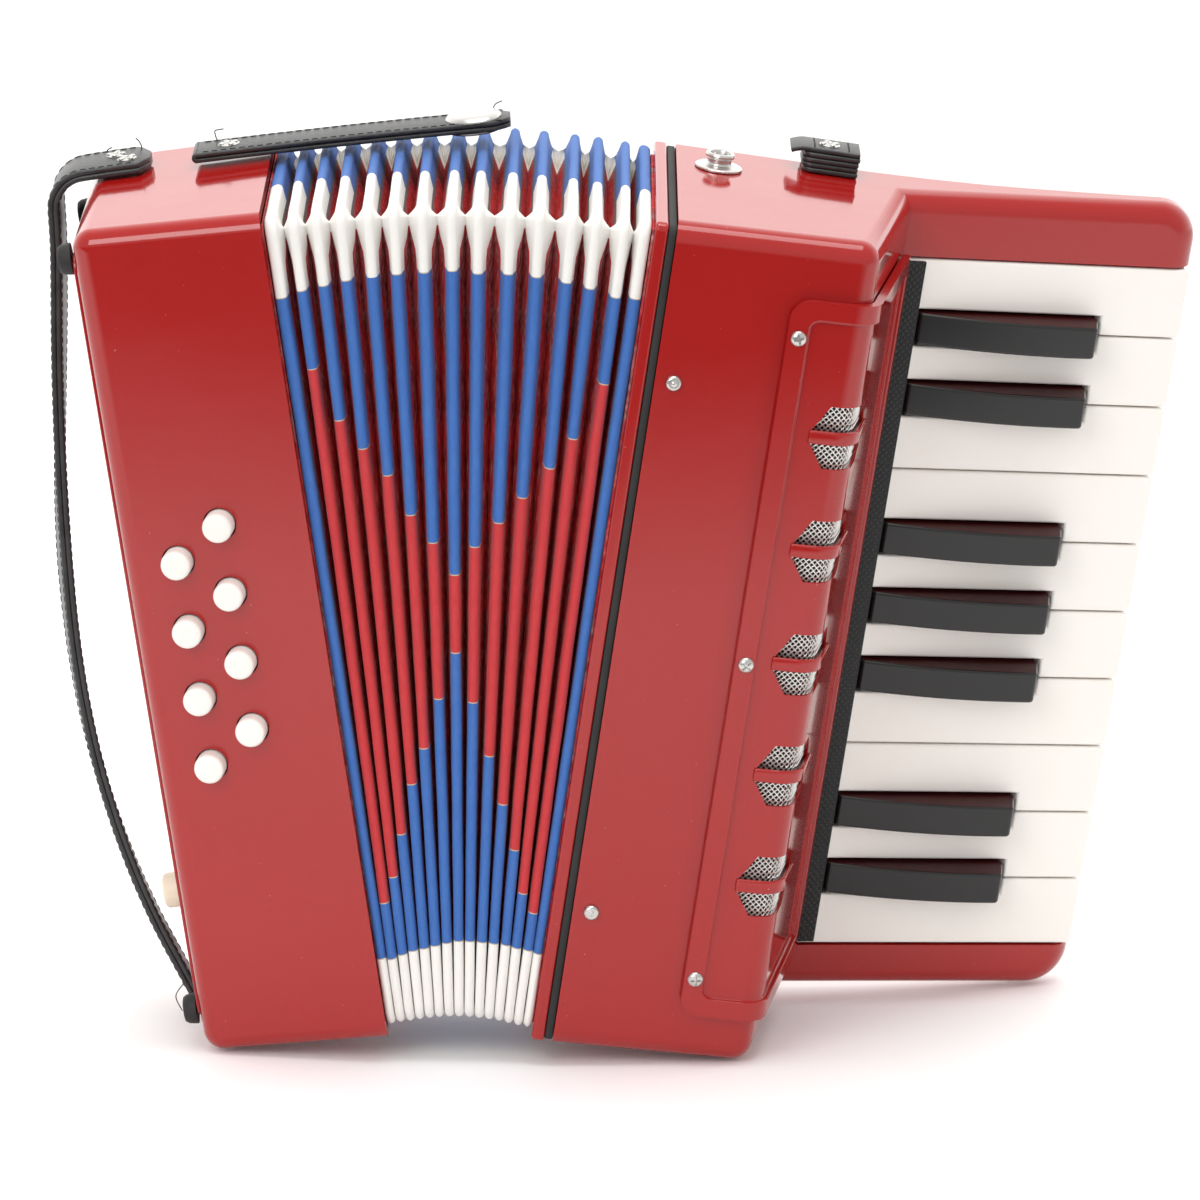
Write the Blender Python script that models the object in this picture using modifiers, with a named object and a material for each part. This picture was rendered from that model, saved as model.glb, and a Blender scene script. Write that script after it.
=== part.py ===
"""Toy piano accordion: 17 piano keys, 8 bass buttons, fanned bellows.

Lengths are millimetres and angles degrees. Everything is drawn in the treble frame: X runs
from the bass side (negative) to the keyboard (positive), Y from the front to the back, Z up
along the case. In that frame the bellows are shut and the two cases are parallel. The bass
half and each bellows fold then turn about one fan axis under the bellows, and the whole
instrument is set down on its corners.
"""
import bpy
import bmesh
from math import sin, cos, tan, atan2, hypot, pi, radians
from mathutils import Matrix, Vector

MM = 0.001

# ---- driving dimensions -----------------------------------------------------
CASE_H = 235.0
CASE_D = 93.0                          # front to back
TREBLE_W, TREBLE_SLOPE = 54.0, 6.0     # the front face runs back by the slope over the width
BASS_W, BASS_SLOPE = 51.0, 7.0
WALL = 2.4
CASE_BEVEL = dict(width=2.6, segments=3, angle=34)
GAP = 44.6                             # between the cases with the bellows shut
BASS_INNER = -GAP                      # X of the bass case's bellows side
BASS_OUTER = BASS_INNER - BASS_W

FAN_X, FAN_Z = -28.0, -2.0             # the fan axis, parallel to Y
FAN_ANGLE = 16.1                       # opening angle
TREBLE_LEAN = 7.27                     # towards the keyboard side
PITCH = 7.05                           # the instrument tips forward onto its front corners
MIDDLE_X, MIDDLE_Y = 44.910, -2.187    # middle of the whole instrument, from the fan axis
SINK = 0.4                             # the lowest sharp corner lies this far below Z = 0

KEY_ANGLE = 20.7                       # keyboard angled back from the case
KEY_ORIGIN = (65.5, 69.7)              # where the case side meets the keyboard
CHASSIS_END = 148.0                    # X of the keyboard's far end
CHASSIS_CORNER_Y = 101.0               # its front corner, for setting down
WHITE_KEYS = 10
KEY_TOP, KEY_PITCH = 216.9, 20.35
AXLE_S, AXLE_Q, AXLE_R = 2.5, 8.0, 1.5  # along the keys, behind their face, radius
AXLE_Z = (7.5, 227.5)
AXLE_CLEARANCE = 0.35


# ---- materials --------------------------------------------------------------
def material(name, colour, roughness, metallic=0.0):
    mat = bpy.data.materials.new(name)
    mat.use_nodes = True
    shader = mat.node_tree.nodes["Principled BSDF"]
    shader.inputs["Base Color"].default_value = (*colour, 1)
    shader.inputs["Roughness"].default_value = roughness
    shader.inputs["Metallic"].default_value = metallic
    return mat


def collection(name):
    new = bpy.data.collections.new(name)
    bpy.context.scene.collection.children.link(new)
    return new


for old in list(bpy.data.objects):
    bpy.data.objects.remove(old, do_unlink=True)
PARTS = collection("piano_accordion")
CUTTERS = collection("cutters")

RED = material("gloss_red_plastic", colour=(0.51, 0.017, 0.012), roughness=0.12)
WHITE = material("white_plastic", colour=(0.85, 0.83, 0.79), roughness=0.3)
BLACK = material("black_plastic", colour=(0.03, 0.03, 0.03), roughness=0.2)
LEATHER = material("black_leatherette", colour=(0.04, 0.04, 0.04), roughness=0.6)
FELT = material("black_strip", colour=(0.03, 0.03, 0.03), roughness=0.8)
RUBBER = material("black_gasket", colour=(0.02, 0.02, 0.02), roughness=0.7)
CHROME = material("chrome", colour=(0.8, 0.8, 0.78), roughness=0.1, metallic=1.0)
STEEL = material("steel", colour=(0.5, 0.5, 0.5), roughness=0.35, metallic=1.0)
MESH = material("wire_mesh", colour=(0.7, 0.7, 0.68), roughness=0.3, metallic=1.0)
BLUE = material("blue_bellows_tape", colour=(0.04, 0.16, 0.55), roughness=0.6)
CARD = material("reed_board", colour=(0.55, 0.42, 0.25), roughness=0.7)


# ---- frames -----------------------------------------------------------------
def mm(x, y, z):
    return Vector((x, y, z)) * MM


def turn(degrees, axis):
    return Matrix.Rotation(radians(degrees), 4, axis)


def move(x, y, z):
    return Matrix.Translation(mm(x, y, z))


def frame(name, parent, matrix):
    empty = bpy.data.objects.new(name, None)
    PARTS.objects.link(empty)
    empty.parent = parent
    empty.matrix_local = matrix
    return empty


def about_fan(share):
    """Lean to the bass side about the fan axis, by a share of the opening angle."""
    to_axis = move(FAN_X, 0, FAN_Z)
    return to_axis @ turn(-FAN_ANGLE * share, "Y") @ to_axis.inverted()


def set_down():
    """Tilt the instrument, stand it on its lowest corner and centre it on the world origin."""
    tilt = turn(PITCH, "X") @ turn(TREBLE_LEAN, "Y")
    corners = (
        mm(TREBLE_W, TREBLE_SLOPE, 0),
        about_fan(1) @ mm(BASS_OUTER, BASS_SLOPE, 0),
        mm(CHASSIS_END, CHASSIS_CORNER_Y, 0))
    lift = -min((tilt @ corner).z for corner in corners) - SINK * MM
    axis = tilt @ mm(FAN_X, CASE_D / 2, FAN_Z)
    shift = (-axis.x - MIDDLE_X * MM, -axis.y - MIDDLE_Y * MM, lift)
    return Matrix.Translation(shift) @ tilt


# Both face frames have X along the sloping front face and Y pointing into the case.
# The keyboard frame has X along the keys, away from the case, and Y to the back of them.
TREBLE = frame("treble_frame", None, set_down())
KEYBOARD = frame("keyboard_frame", TREBLE, move(*KEY_ORIGIN, 0) @ turn(KEY_ANGLE, "Z"))
TREBLE_FACE = frame("treble_face", TREBLE,
                    Matrix.Rotation(atan2(TREBLE_SLOPE, TREBLE_W), 4, "Z"))
BASS = frame("bass_frame", TREBLE, about_fan(1))
BASS_FACE = frame("bass_face", BASS,
                  move(BASS_INNER, 0, 0) @ Matrix.Rotation(-atan2(BASS_SLOPE, BASS_W), 4, "Z"))


# ---- objects and modifiers --------------------------------------------------
def link(name, mesh, parent, target):
    obj = bpy.data.objects.new(name, mesh)
    target.objects.link(obj)
    obj.parent = parent
    return obj


def piece(name, mesh, mat, parent, origin=(0, 0, 0)):
    """A part whose mesh is drawn in its parent's frame, with its origin put at `origin`."""
    obj = link(name, mesh, parent, PARTS)
    mesh.transform(Matrix.Translation(-mm(*origin)))
    obj.location = mm(*origin)
    mesh.materials.clear()
    mesh.materials.append(mat)
    mesh.shade_smooth()
    mesh.set_sharp_from_angle(angle=radians(32))
    return obj


def turned(name, profile, steps, mat, parent, at, rotation=(0, 0, 0)):
    """A turned piece: profile is (radius, height) from the top down its outer side."""
    mesh = bpy.data.meshes.new(name)
    mesh.from_pydata([(radius * MM, 0, height * MM) for radius, height in profile],
                     [(i, i + 1) for i in range(len(profile) - 1)], [])
    mesh.materials.append(mat)
    obj = link(name, mesh, parent, PARTS)
    obj.location = mm(*at)
    obj.rotation_euler = rotation
    screw = obj.modifiers.new("Screw", "SCREW")
    screw.steps = screw.render_steps = steps
    screw.use_merge_vertices = True
    screw.merge_threshold = 1e-6
    screw.use_smooth_shade = True


def bevel(obj, width, segments, angle=30):
    mod = obj.modifiers.new("Bevel", "BEVEL")
    mod.width = width * MM
    mod.segments = segments
    mod.limit_method = "ANGLE"
    mod.angle_limit = radians(angle)


def combine(obj, name, mesh, how="DIFFERENCE", parent=None):
    """Cut the mesh from the object, join it on (UNION) or keep what is inside it (INTERSECT)."""
    helper = link(name, mesh, parent or obj.parent, CUTTERS)
    helper.hide_render = True
    helper.display_type = "WIRE"
    mod = obj.modifiers.new(how.title(), "BOOLEAN")
    mod.operation = how
    mod.solver = "EXACT"
    mod.object = helper


# ---- flat outlines ----------------------------------------------------------
def inset(length, margin):
    return margin, length - margin


def around(middle, half):
    return middle - half, middle + half


def arc(centre_x, centre_y, radius, start, end, steps):
    angles = [radians(start + (end - start) * i / steps) for i in range(steps + 1)]
    return [(centre_x + radius * cos(a), centre_y + radius * sin(a)) for a in angles]


def rect(x, y):
    return [(x[0], y[0]), (x[1], y[0]), (x[1], y[1]), (x[0], y[1])]


def round_rect(x, y, radius, steps):
    """Rounded rectangle; radius may be a 4-tuple: lower left, lower right, upper right, left."""
    radii = radius if isinstance(radius, tuple) else (radius,) * 4
    inward = ((1, 1), (-1, 1), (-1, -1), (1, -1))
    outline = []
    for (corner_x, corner_y), (in_x, in_y), r, start in zip(
            rect(x, y), inward, radii, (180, 270, 0, 90)):
        outline += arc(corner_x + in_x * r, corner_y + in_y * r, r, start, start + 90, steps)
    return outline


def direction(start, end):
    x, y = end[0] - start[0], end[1] - start[1]
    length = hypot(x, y)
    return x / length, y / length


def part_way(start, end, share):
    return start[0] + (end[0] - start[0]) * share, start[1] + (end[1] - start[1]) * share


def fillet(before, corner, after, radius, steps):
    """The corner between two points, rounded."""
    back_x, back_y = direction(corner, before)
    on_x, on_y = direction(corner, after)
    half = 0.5 * abs(atan2(back_x * on_y - back_y * on_x, back_x * on_x + back_y * on_y))
    reach = radius / tan(half)
    scale = radius / sin(half) / hypot(back_x + on_x, back_y + on_y)
    centre_x = corner[0] + (back_x + on_x) * scale
    centre_y = corner[1] + (back_y + on_y) * scale
    start, end = (atan2(corner[1] + y * reach - centre_y, corner[0] + x * reach - centre_x)
                  for x, y in ((back_x, back_y), (on_x, on_y)))
    sweep = (end - start + pi) % (2 * pi) - pi      # the short way round
    angles = [start + sweep * i / steps for i in range(steps + 1)]
    return [(centre_x + radius * cos(a), centre_y + radius * sin(a)) for a in angles]


# ---- meshes -----------------------------------------------------------------
def to_mesh(bm, name):
    mesh = bpy.data.meshes.new(name)
    bm.to_mesh(mesh)
    bm.free()
    return mesh


AXES = {  # a flat outline's own x, y and thickness, as axes of the frame
    "XY": Matrix.Identity(4),
    "XZ": Matrix(((1, 0, 0, 0), (0, 0, 1, 0), (0, 1, 0, 0), (0, 0, 0, 1))),
    "YZ": Matrix(((0, 0, 1, 0), (1, 0, 0, 0), (0, 1, 0, 0), (0, 0, 0, 1))),
}


def prism(outline, span, plane="XY", holes=()):
    """A flat outline with any holes, given thickness over a span of the third axis."""
    low, high = span
    curve = bpy.data.curves.new("outline", "CURVE")
    curve.dimensions = "2D"
    curve.fill_mode = "BOTH"
    curve.extrude = (high - low) / 2 * MM
    for points in (outline, *holes):
        spline = curve.splines.new("POLY")
        spline.points.add(len(points) - 1)
        for point, (x, y) in zip(spline.points, points):
            point.co = (x * MM, y * MM, 0, 1)
        spline.use_cyclic_u = True
    obj = bpy.data.objects.new("outline", curve)
    bpy.context.scene.collection.objects.link(obj)
    bpy.context.view_layer.update()
    evaluated = obj.evaluated_get(bpy.context.evaluated_depsgraph_get())
    mesh = bpy.data.meshes.new_from_object(evaluated)
    bpy.data.objects.remove(obj)
    bpy.data.curves.remove(curve)
    mesh.transform(AXES[plane] @ Matrix.Translation((0, 0, (low + high) / 2 * MM)))
    # the curve's caps and sides come unjoined
    bm = bmesh.new()
    bm.from_mesh(mesh)
    bmesh.ops.remove_doubles(bm, verts=bm.verts, dist=2e-6)
    bmesh.ops.recalc_face_normals(bm, faces=bm.faces)
    bm.to_mesh(mesh)
    bm.free()
    return mesh


def box(x, y, z):
    spans = (x, y, z)
    bm = bmesh.new()
    bmesh.ops.create_cube(bm, size=1)
    bmesh.ops.scale(bm, vec=mm(*(high - low for low, high in spans)), verts=bm.verts)
    bmesh.ops.translate(bm, vec=mm(*((low + high) / 2 for low, high in spans)), verts=bm.verts)
    return to_mesh(bm, "box")


def cylinder(radius, start, end, segments=20, end_radius=None):
    """A cylinder or cone between two points."""
    start, end = mm(*start), mm(*end)
    bm = bmesh.new()
    bmesh.ops.create_cone(bm, cap_ends=True, segments=segments, radius1=radius * MM,
                          radius2=(radius if end_radius is None else end_radius) * MM,
                          depth=(end - start).length)
    aim = (end - start).to_track_quat("Z", "Y").to_matrix().to_4x4()
    bmesh.ops.transform(bm, matrix=Matrix.Translation((start + end) / 2) @ aim, verts=bm.verts)
    return to_mesh(bm, "cylinder")


def ellipsoid(at, radii):
    bm = bmesh.new()
    bmesh.ops.create_uvsphere(bm, u_segments=20, v_segments=12, radius=1)
    bmesh.ops.scale(bm, vec=mm(*radii), verts=bm.verts)
    bmesh.ops.translate(bm, vec=mm(*at), verts=bm.verts)
    return to_mesh(bm, "ellipsoid")


def band(path, width, thick):
    """A strap along (x, y, z) points: its width lies along Y, its thickness across the path."""
    bm = bmesh.new()
    rows = []
    for i, (x, y, z) in enumerate(path):
        before, after = path[max(i - 1, 0)], path[min(i + 1, len(path) - 1)]
        along_x, along_z = direction((before[0], before[2]), (after[0], after[2]))
        across_x, across_z = -along_z * thick / 2, along_x * thick / 2
        rows.append([bm.verts.new(mm(x + face * across_x, y + edge * width / 2,
                                     z + face * across_z))
                     for face, edge in ((1, -1), (1, 1), (-1, 1), (-1, -1))])
    for row, following in zip(rows, rows[1:]):
        for j in range(4):
            k = (j + 1) % 4
            bm.faces.new((row[j], row[k], following[k], following[j]))
    bm.faces.new(rows[0][::-1])
    bm.faces.new(rows[-1])
    bmesh.ops.recalc_face_normals(bm, faces=bm.faces)
    return to_mesh(bm, "band")


# ---- treble case ------------------------------------------------------------
FRONT_LEFT, FRONT_RIGHT = (0.0, 0.0), (TREBLE_W, TREBLE_SLOPE)
CORNER_R, CORNER_STEPS = 6.0, 6        # the upright edge at the front right
REAR_EDGE = [  # X, Y from the keyboard's end back to the bellows side
    (CHASSIS_END, 115.8), (131.0, 110.0), (114.0, 104.6), (100.0, 100.5),
    (86.0, 97.0), (70.0, 94.4), (54.0, CASE_D), (0.0, CASE_D)]
CAVITY = [  # X, Y; open to the bellows
    (-4, WALL), (50.5, WALL + 5.9), (62.0, 69.5),
    (62.0, CASE_D - WALL - 0.2), (-4, CASE_D - WALL)]
THROUGH_Y = (-20, 140)                 # front to back, past every part of a case
RECESS_S, RECESS_Q = (0.25, 110), (-40, 10.5)
RECESS_MARGIN = 0.4                    # above and below the keys


def key_point(along, behind):
    """A point of the keyboard frame, in treble X and Y."""
    angle = radians(KEY_ANGLE)
    return (KEY_ORIGIN[0] + along * cos(angle) - behind * sin(angle),
            KEY_ORIGIN[1] + along * sin(angle) + behind * cos(angle))


AXLE_XY = key_point(AXLE_S, AXLE_Q)


def treble_case():
    chassis_front = key_point((CHASSIS_END - KEY_ORIGIN[0]) / cos(radians(KEY_ANGLE)), 0)
    corner = fillet(FRONT_LEFT, FRONT_RIGHT, KEY_ORIGIN, CORNER_R, CORNER_STEPS)
    plan = [FRONT_LEFT, *corner, KEY_ORIGIN, chassis_front, *REAR_EDGE]
    case = piece("treble_case", prism(plan, (0, CASE_H)), RED, TREBLE)
    front_view = round_rect((0, CHASSIS_END), (0, CASE_H), (1.5, 11.0, 11.0, 1.5), 6)
    combine(case, "treble_outline", prism(front_view, THROUGH_Y, "XZ"), "INTERSECT")
    bevel(case, **CASE_BEVEL)
    combine(case, "treble_cavity", prism(CAVITY, inset(CASE_H, WALL)))
    combine(case, "rear_window", box(x=(8, 46), y=around(CASE_D, 8), z=inset(CASE_H, 10)))
    combine(case, "sound_window", box(x=(42.0, 75.0), y=(-6, 48), z=(30, 206)))
    recess = [key_point(*point) for point in rect(RECESS_S, RECESS_Q)]
    recess_z = (KEY_TOP - WHITE_KEYS * KEY_PITCH - RECESS_MARGIN, KEY_TOP + RECESS_MARGIN)
    combine(case, "key_recess", prism(recess, recess_z))
    combine(case, "axle_bore", cylinder(AXLE_R + AXLE_CLEARANCE, (*AXLE_XY, AXLE_Z[0] - 1),
                                        (*AXLE_XY, AXLE_Z[1] + 1), 16))


def treble_rear_cover():
    outline = round_rect((5, 49), inset(CASE_H, 7), 4, 4)
    cover = piece("treble_rear_cover", prism(outline, (CASE_D + 0.3, CASE_D + 2.2), "XZ"),
                  RED, TREBLE)
    bevel(cover, 0.6, 2)


# ---- grille on the treble front ---------------------------------------------
GRILLE_LEFT, GRILLE_Z = 32.8, (14.0, 219.0)
OPENINGS = (181.6, 149.6, 117.3, 85.2, 53.0)    # heights of their middles
OPENING_RADII = (10.6, 14.0, 9.2)
OPENING_X, OPENING_Y = TREBLE_W + 0.4, TREBLE_SLOPE + 1.2
BAR_HALF = 1.9
SCREW_X = 36.0
SCREW_Z = {"top": 208.4, "middle": 116.4, "bottom": 24.9}
SCREW_Y = (-2.65, -3.9)                         # base and top of the head
SLOT_HALF = {"slot": (1.8, 0.35), "cross": (0.35, 1.8)}    # half sizes in X and Z
PIN_Z = {"top": 191.8, "bottom": 40.5}
PIN_PROFILE = ((0, 1.5), (0.9, 1.35), (1.7, 0.9), (2.2, 0.2), (2.2, 0.0), (0, 0.0))


def wrapped_line(left, share, out):
    """A line round the front right corner, moved outward from the case.

    It starts at X `left` on the front and ends a share of the way back along the side.
    """
    stretches = []
    for start, end in (((left, left * TREBLE_SLOPE / TREBLE_W), FRONT_RIGHT),
                       (FRONT_RIGHT, part_way(FRONT_RIGHT, KEY_ORIGIN, share))):
        x, y = direction(start, end)
        stretches.append([(point[0] + y * out, point[1] - x * out) for point in (start, end)])
    (first, front_end), (side_start, last) = stretches
    front_x, front_y = front_end[0] - first[0], front_end[1] - first[1]
    side_x, side_y = last[0] - side_start[0], last[1] - side_start[1]
    along = (((side_start[0] - first[0]) * side_y - (side_start[1] - first[1]) * side_x)
             / (front_x * side_y - front_y * side_x))
    corner = (first[0] + front_x * along, first[1] + front_y * along)
    return [first, *fillet(first, corner, last, CORNER_R + out, CORNER_STEPS), last]


def wrapped_sheet(left, share, outside, inside, z):
    """A sheet round the corner, between two distances out from the case."""
    outline = wrapped_line(left, share, outside) + wrapped_line(left, share, inside)[::-1]
    return prism(outline, z)


def grille():
    cover = piece("grille_cover", wrapped_sheet(GRILLE_LEFT, 0.93, 2.3, 0.35, GRILLE_Z),
                  RED, TREBLE)
    for i, z in enumerate(OPENINGS, 1):
        combine(cover, f"opening_{i}", ellipsoid((OPENING_X, OPENING_Y, z), OPENING_RADII))
        # the bar that crosses each opening is put back
        bar = wrapped_sheet(GRILLE_LEFT + 6, 0.6, 2.0, 0.6, around(z, BAR_HALF))
        combine(cover, f"bar_{i}", bar, "UNION")
    piece("grille_mesh", wrapped_sheet(43.0, 0.62, 0.0, -0.6, (31, 205)), MESH, TREBLE)


def front_fasteners():
    base, top = SCREW_Y
    for place, z in SCREW_Z.items():
        name = f"grille_screw_{place}"
        head = cylinder(2.7, (SCREW_X, base, z), (SCREW_X, top, z), 16, end_radius=2.2)
        screw = piece(name, head, CHROME, TREBLE_FACE)
        for slot, (half_x, half_z) in SLOT_HALF.items():
            combine(screw, f"{name}_{slot}",
                    box(x=around(SCREW_X, half_x), y=(-5, -3.3), z=around(z, half_z)))
    for place, z in PIN_Z.items():
        turned(f"bellows_pin_{place}", PIN_PROFILE, 16, CHROME, TREBLE_FACE,
               at=(5.1, -0.3, z), rotation=(pi / 2, 0, 0))


# ---- reed board and fittings on top of the treble case ----------------------
REED_ROWS, REED_BOTTOM, REED_STEP, REED_HOLE_H = 8, 24, 25.0, 9
REED_HOLE_Y = ((14, 40), (50, 76))
STUD_AT = (11.5, 67.0)
STUD_PROFILE = ((0, 4.4), (3.3, 4.4), (4.0, 4.0), (4.0, 2.9), (3.3, 2.3), (3.5, 1.1),
                (6.4, 0.8), (6.5, 0.0), (0, 0.0))


def treble_reed_board():
    rows = [REED_BOTTOM + i * REED_STEP for i in range(REED_ROWS)]
    holes = [rect(y, (z, z + REED_HOLE_H)) for z in rows for y in REED_HOLE_Y]
    outline = round_rect((4, 87.5), inset(CASE_H, 4.5), 3, 2)
    piece("treble_reed_board", prism(outline, (3.5, 6.5), "YZ", holes), CARD, TREBLE)


def top_fittings():
    turned("snap_stud", STUD_PROFILE, 24, CHROME, TREBLE, at=(*STUD_AT, CASE_H + 0.3))
    bracket = piece("shoulder_strap_bracket",
                    box(x=(34.3, 50.4), y=(75.8, 89.5), z=(CASE_H + 0.35, CASE_H + 5.9)),
                    LEATHER, TREBLE)
    bevel(bracket, 0.9, 2)


# ---- keyboard ---------------------------------------------------------------
KEY_START, KEY_END = AXLE_S - 2.2, 88.5
KEY_GAP, KEY_THICK = 0.5, 5.0
BLACK_AT = (1, 2, 4, 5, 6, 8, 9)       # key boundaries, from the top, with a black key
BLACK_W, BLACK_END, BLACK_TALL = 9.1, 62.5, 9.5
BLACK_SHIFT = 0.4                      # black keys sit this far above their boundary
NOTCH_HALF, NOTCH_END = BLACK_W / 2 + 0.75, BLACK_END + 1.0
BLACK_PROFILE = [  # along the keys, behind the white key face
    (KEY_START, 0.4), (7.6, 0.4), (7.6, -1.4), (14, -3.2), (21, -5.4), (28, -7.2), (36, -8.5),
    (46, -9.2), (57.5, -BLACK_TALL), (59.3, -8.8), (BLACK_END, -1.0), (BLACK_END, 4.6),
    (KEY_START, 4.6)]
LUG_S, LUG_Q = (AXLE_S - 1.85, AXLE_S + 2.7), (3.0, 10.0)
FELT_S, FELT_Q, FELT_Z = (0.5, 6.7), (-1.4, -0.4), (15.0, 215.5)


def boundary(k):
    return KEY_TOP - KEY_PITCH * k


def hinged_key(name, mesh, mat, middle, edge, hinge_z):
    """A key turning on the axle: bevelled, given a hinge lug and bored."""
    key = piece(name, mesh, mat, KEYBOARD, (AXLE_S, AXLE_Q, middle))
    bevel(key, edge, 1, 40)
    low, high = hinge_z
    combine(key, f"{name}_union", box(x=LUG_S, y=LUG_Q, z=hinge_z), "UNION")
    combine(key, f"{name}_difference",
            cylinder(AXLE_R + AXLE_CLEARANCE, (AXLE_S, AXLE_Q, low - 5),
                     (AXLE_S, AXLE_Q, high + 5), 12))


def white_key(k):
    """White key between boundaries k and k + 1, notched beside each black key."""
    top, bottom = boundary(k) - KEY_GAP / 2, boundary(k + 1) + KEY_GAP / 2
    hinge_top, hinge_bottom = top, bottom
    upper_notch, lower_notch = [], []
    if k in BLACK_AT:
        hinge_top = boundary(k) + BLACK_SHIFT - NOTCH_HALF
        upper_notch = [(NOTCH_END, top), (NOTCH_END, hinge_top)]
    if k + 1 in BLACK_AT:
        hinge_bottom = boundary(k + 1) + BLACK_SHIFT + NOTCH_HALF
        lower_notch = [(NOTCH_END, hinge_bottom), (NOTCH_END, bottom)]
    outline = [(KEY_START, hinge_bottom), *lower_notch, (KEY_END, bottom), (KEY_END, top),
               *upper_notch, (KEY_START, hinge_top)]
    hinged_key(f"white_key_{k + 1:02d}", prism(outline, (0.0, KEY_THICK), "XZ"), WHITE,
               (top + bottom) / 2, 0.5, (hinge_bottom, hinge_top))


def keyboard():
    start, end = AXLE_Z
    piece("key_axle", cylinder(AXLE_R, (*AXLE_XY, start), (*AXLE_XY, end), 16), STEEL, TREBLE)
    piece("key_felt_strip", prism(rect(FELT_S, FELT_Q), FELT_Z), FELT, KEYBOARD)
    for k in range(WHITE_KEYS):
        white_key(k)
    for i, k in enumerate(BLACK_AT, 1):
        z = boundary(k) + BLACK_SHIFT
        span = around(z, BLACK_W / 2)
        hinged_key(f"black_key_{i:02d}", prism(BLACK_PROFILE, span), BLACK, z, 0.6, span)


# ---- bellows ----------------------------------------------------------------
RIM_X = (-5.9, -2.4)                   # red frame at the treble end
GASKET_X = (-2.05, -0.35)
RIM_HOLE = round_rect((11, CASE_D - 12), inset(CASE_H, 11), 3.0, 2)
FOLDS_START = -6.0                     # X of the treble end of the folds
FOLDS = 15                             # places for folds, from the bass side
FOLD_PITCH = (GAP + FOLDS_START) / FOLDS
FOLD_T = 2.1
FOLD_Y, FOLD_Z = (1.8, 91.0), (3.0, 233.4)
FOLD_DEEP = 9.0                        # outer edge to inner edge of a fold
# Share of the opening angle for the folds in places 2 to 14; the end places are empty.
FAN_SHARE = (0.93, 0.875, 0.815, 0.745, 0.68, 0.605, 0.525,
             0.455, 0.365, 0.285, 0.195, 0.135, 0.06)


def bellows_ends():
    gasket = round_rect(inset(CASE_D, 1.1), inset(CASE_H, 1.2), 3.0, 3)
    rim = round_rect(inset(CASE_D, 0.7), inset(CASE_H, 0.8), 3.0, 3)
    bass_rim = round_rect(FOLD_Y, FOLD_Z, 3.0, 2)
    bass_x = (BASS_INNER + 0.35, BASS_INNER + 2.3)
    for name, outline, x, mat, parent in (
            ("bellows_gasket", gasket, GASKET_X, RUBBER, TREBLE),
            ("treble_bellows_frame", rim, RIM_X, RED, TREBLE),
            ("bass_bellows_frame", bass_rim, bass_x, BLUE, BASS)):
        piece(name, prism(outline, x, "YZ", [RIM_HOLE]), mat, parent)


def bellows_folds():
    outline = round_rect(FOLD_Y, FOLD_Z, 8.0, 2)
    hole = round_rect((FOLD_Y[0] + FOLD_DEEP, FOLD_Y[1] - FOLD_DEEP),
                      (FOLD_Z[0] + FOLD_DEEP, FOLD_Z[1] - FOLD_DEEP), 2.0, 1)
    for k, share in enumerate(FAN_SHARE, 2):
        x = FOLDS_START - (FOLDS + 0.5 - k) * FOLD_PITCH
        fold_frame = frame(f"fold_frame_{k:02d}", TREBLE, about_fan(share))
        piece(f"bellows_fold_{k:02d}", prism(outline, around(x, FOLD_T / 2), "YZ", [hole]),
              BLUE, fold_frame, (FAN_X, 0, FAN_Z))


# ---- bass case --------------------------------------------------------------
BASS_CORNER_R, BASS_CORNER_STEPS = 4.0, 4
BUTTON_R, BUTTON_STEP, BUTTON_ROWS = 4.1, 19.4, 4
BUTTON_COLUMNS = ((36.5, 142.3), (23.6, 151.7))    # along the face, height of the top one
AIR_Y, AIR_Z, AIR_R = 24.0, 43.0, 4.9
FEET = ((19.0, 225.5), (19.0, 9.5), (CASE_D - 12, CASE_H - 13.0), (CASE_D - 12, 13.0))  # Y, Z


def bass_case():
    inner_front, inner_back = (BASS_INNER, 0), (BASS_INNER, CASE_D)
    outer_front, outer_back = (BASS_OUTER, BASS_SLOPE), (BASS_OUTER, CASE_D)
    rounding = (BASS_CORNER_R, BASS_CORNER_STEPS)
    plan = [inner_front, inner_back, *fillet(inner_back, outer_back, outer_front, *rounding),
            *fillet(outer_back, outer_front, inner_front, *rounding)]
    case = piece("bass_case", prism(plan, (0, CASE_H)), RED, BASS)
    front_view = round_rect((BASS_OUTER, BASS_INNER), (0, CASE_H), (4.0, 0.8, 0.8, 4.0), 4)
    combine(case, "bass_outline", prism(front_view, THROUGH_Y, "XZ"), "INTERSECT")
    bevel(case, **CASE_BEVEL)
    cavity = [(BASS_INNER + 4, WALL), (BASS_INNER + 4, CASE_D - WALL),
              (BASS_OUTER + WALL, CASE_D - WALL), (BASS_OUTER + WALL, BASS_SLOPE + WALL)]
    combine(case, "bass_cavity", prism(cavity, inset(CASE_H, WALL)))
    combine(case, "side_window",
            box(x=(BASS_OUTER - 5, BASS_OUTER + 8), y=(18, 82), z=inset(CASE_H, 14)))
    places = [(-along, top - BUTTON_STEP * i)
              for along, top in BUTTON_COLUMNS for i in range(BUTTON_ROWS)]
    for number, (x, z) in enumerate(places, 1):
        combine(case, f"button_hole_{number}",
                cylinder(BUTTON_R + 0.45, (x, -8, z), (x, 8, z), 16), parent=BASS_FACE)
        bass_button(number, x, z)


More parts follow.
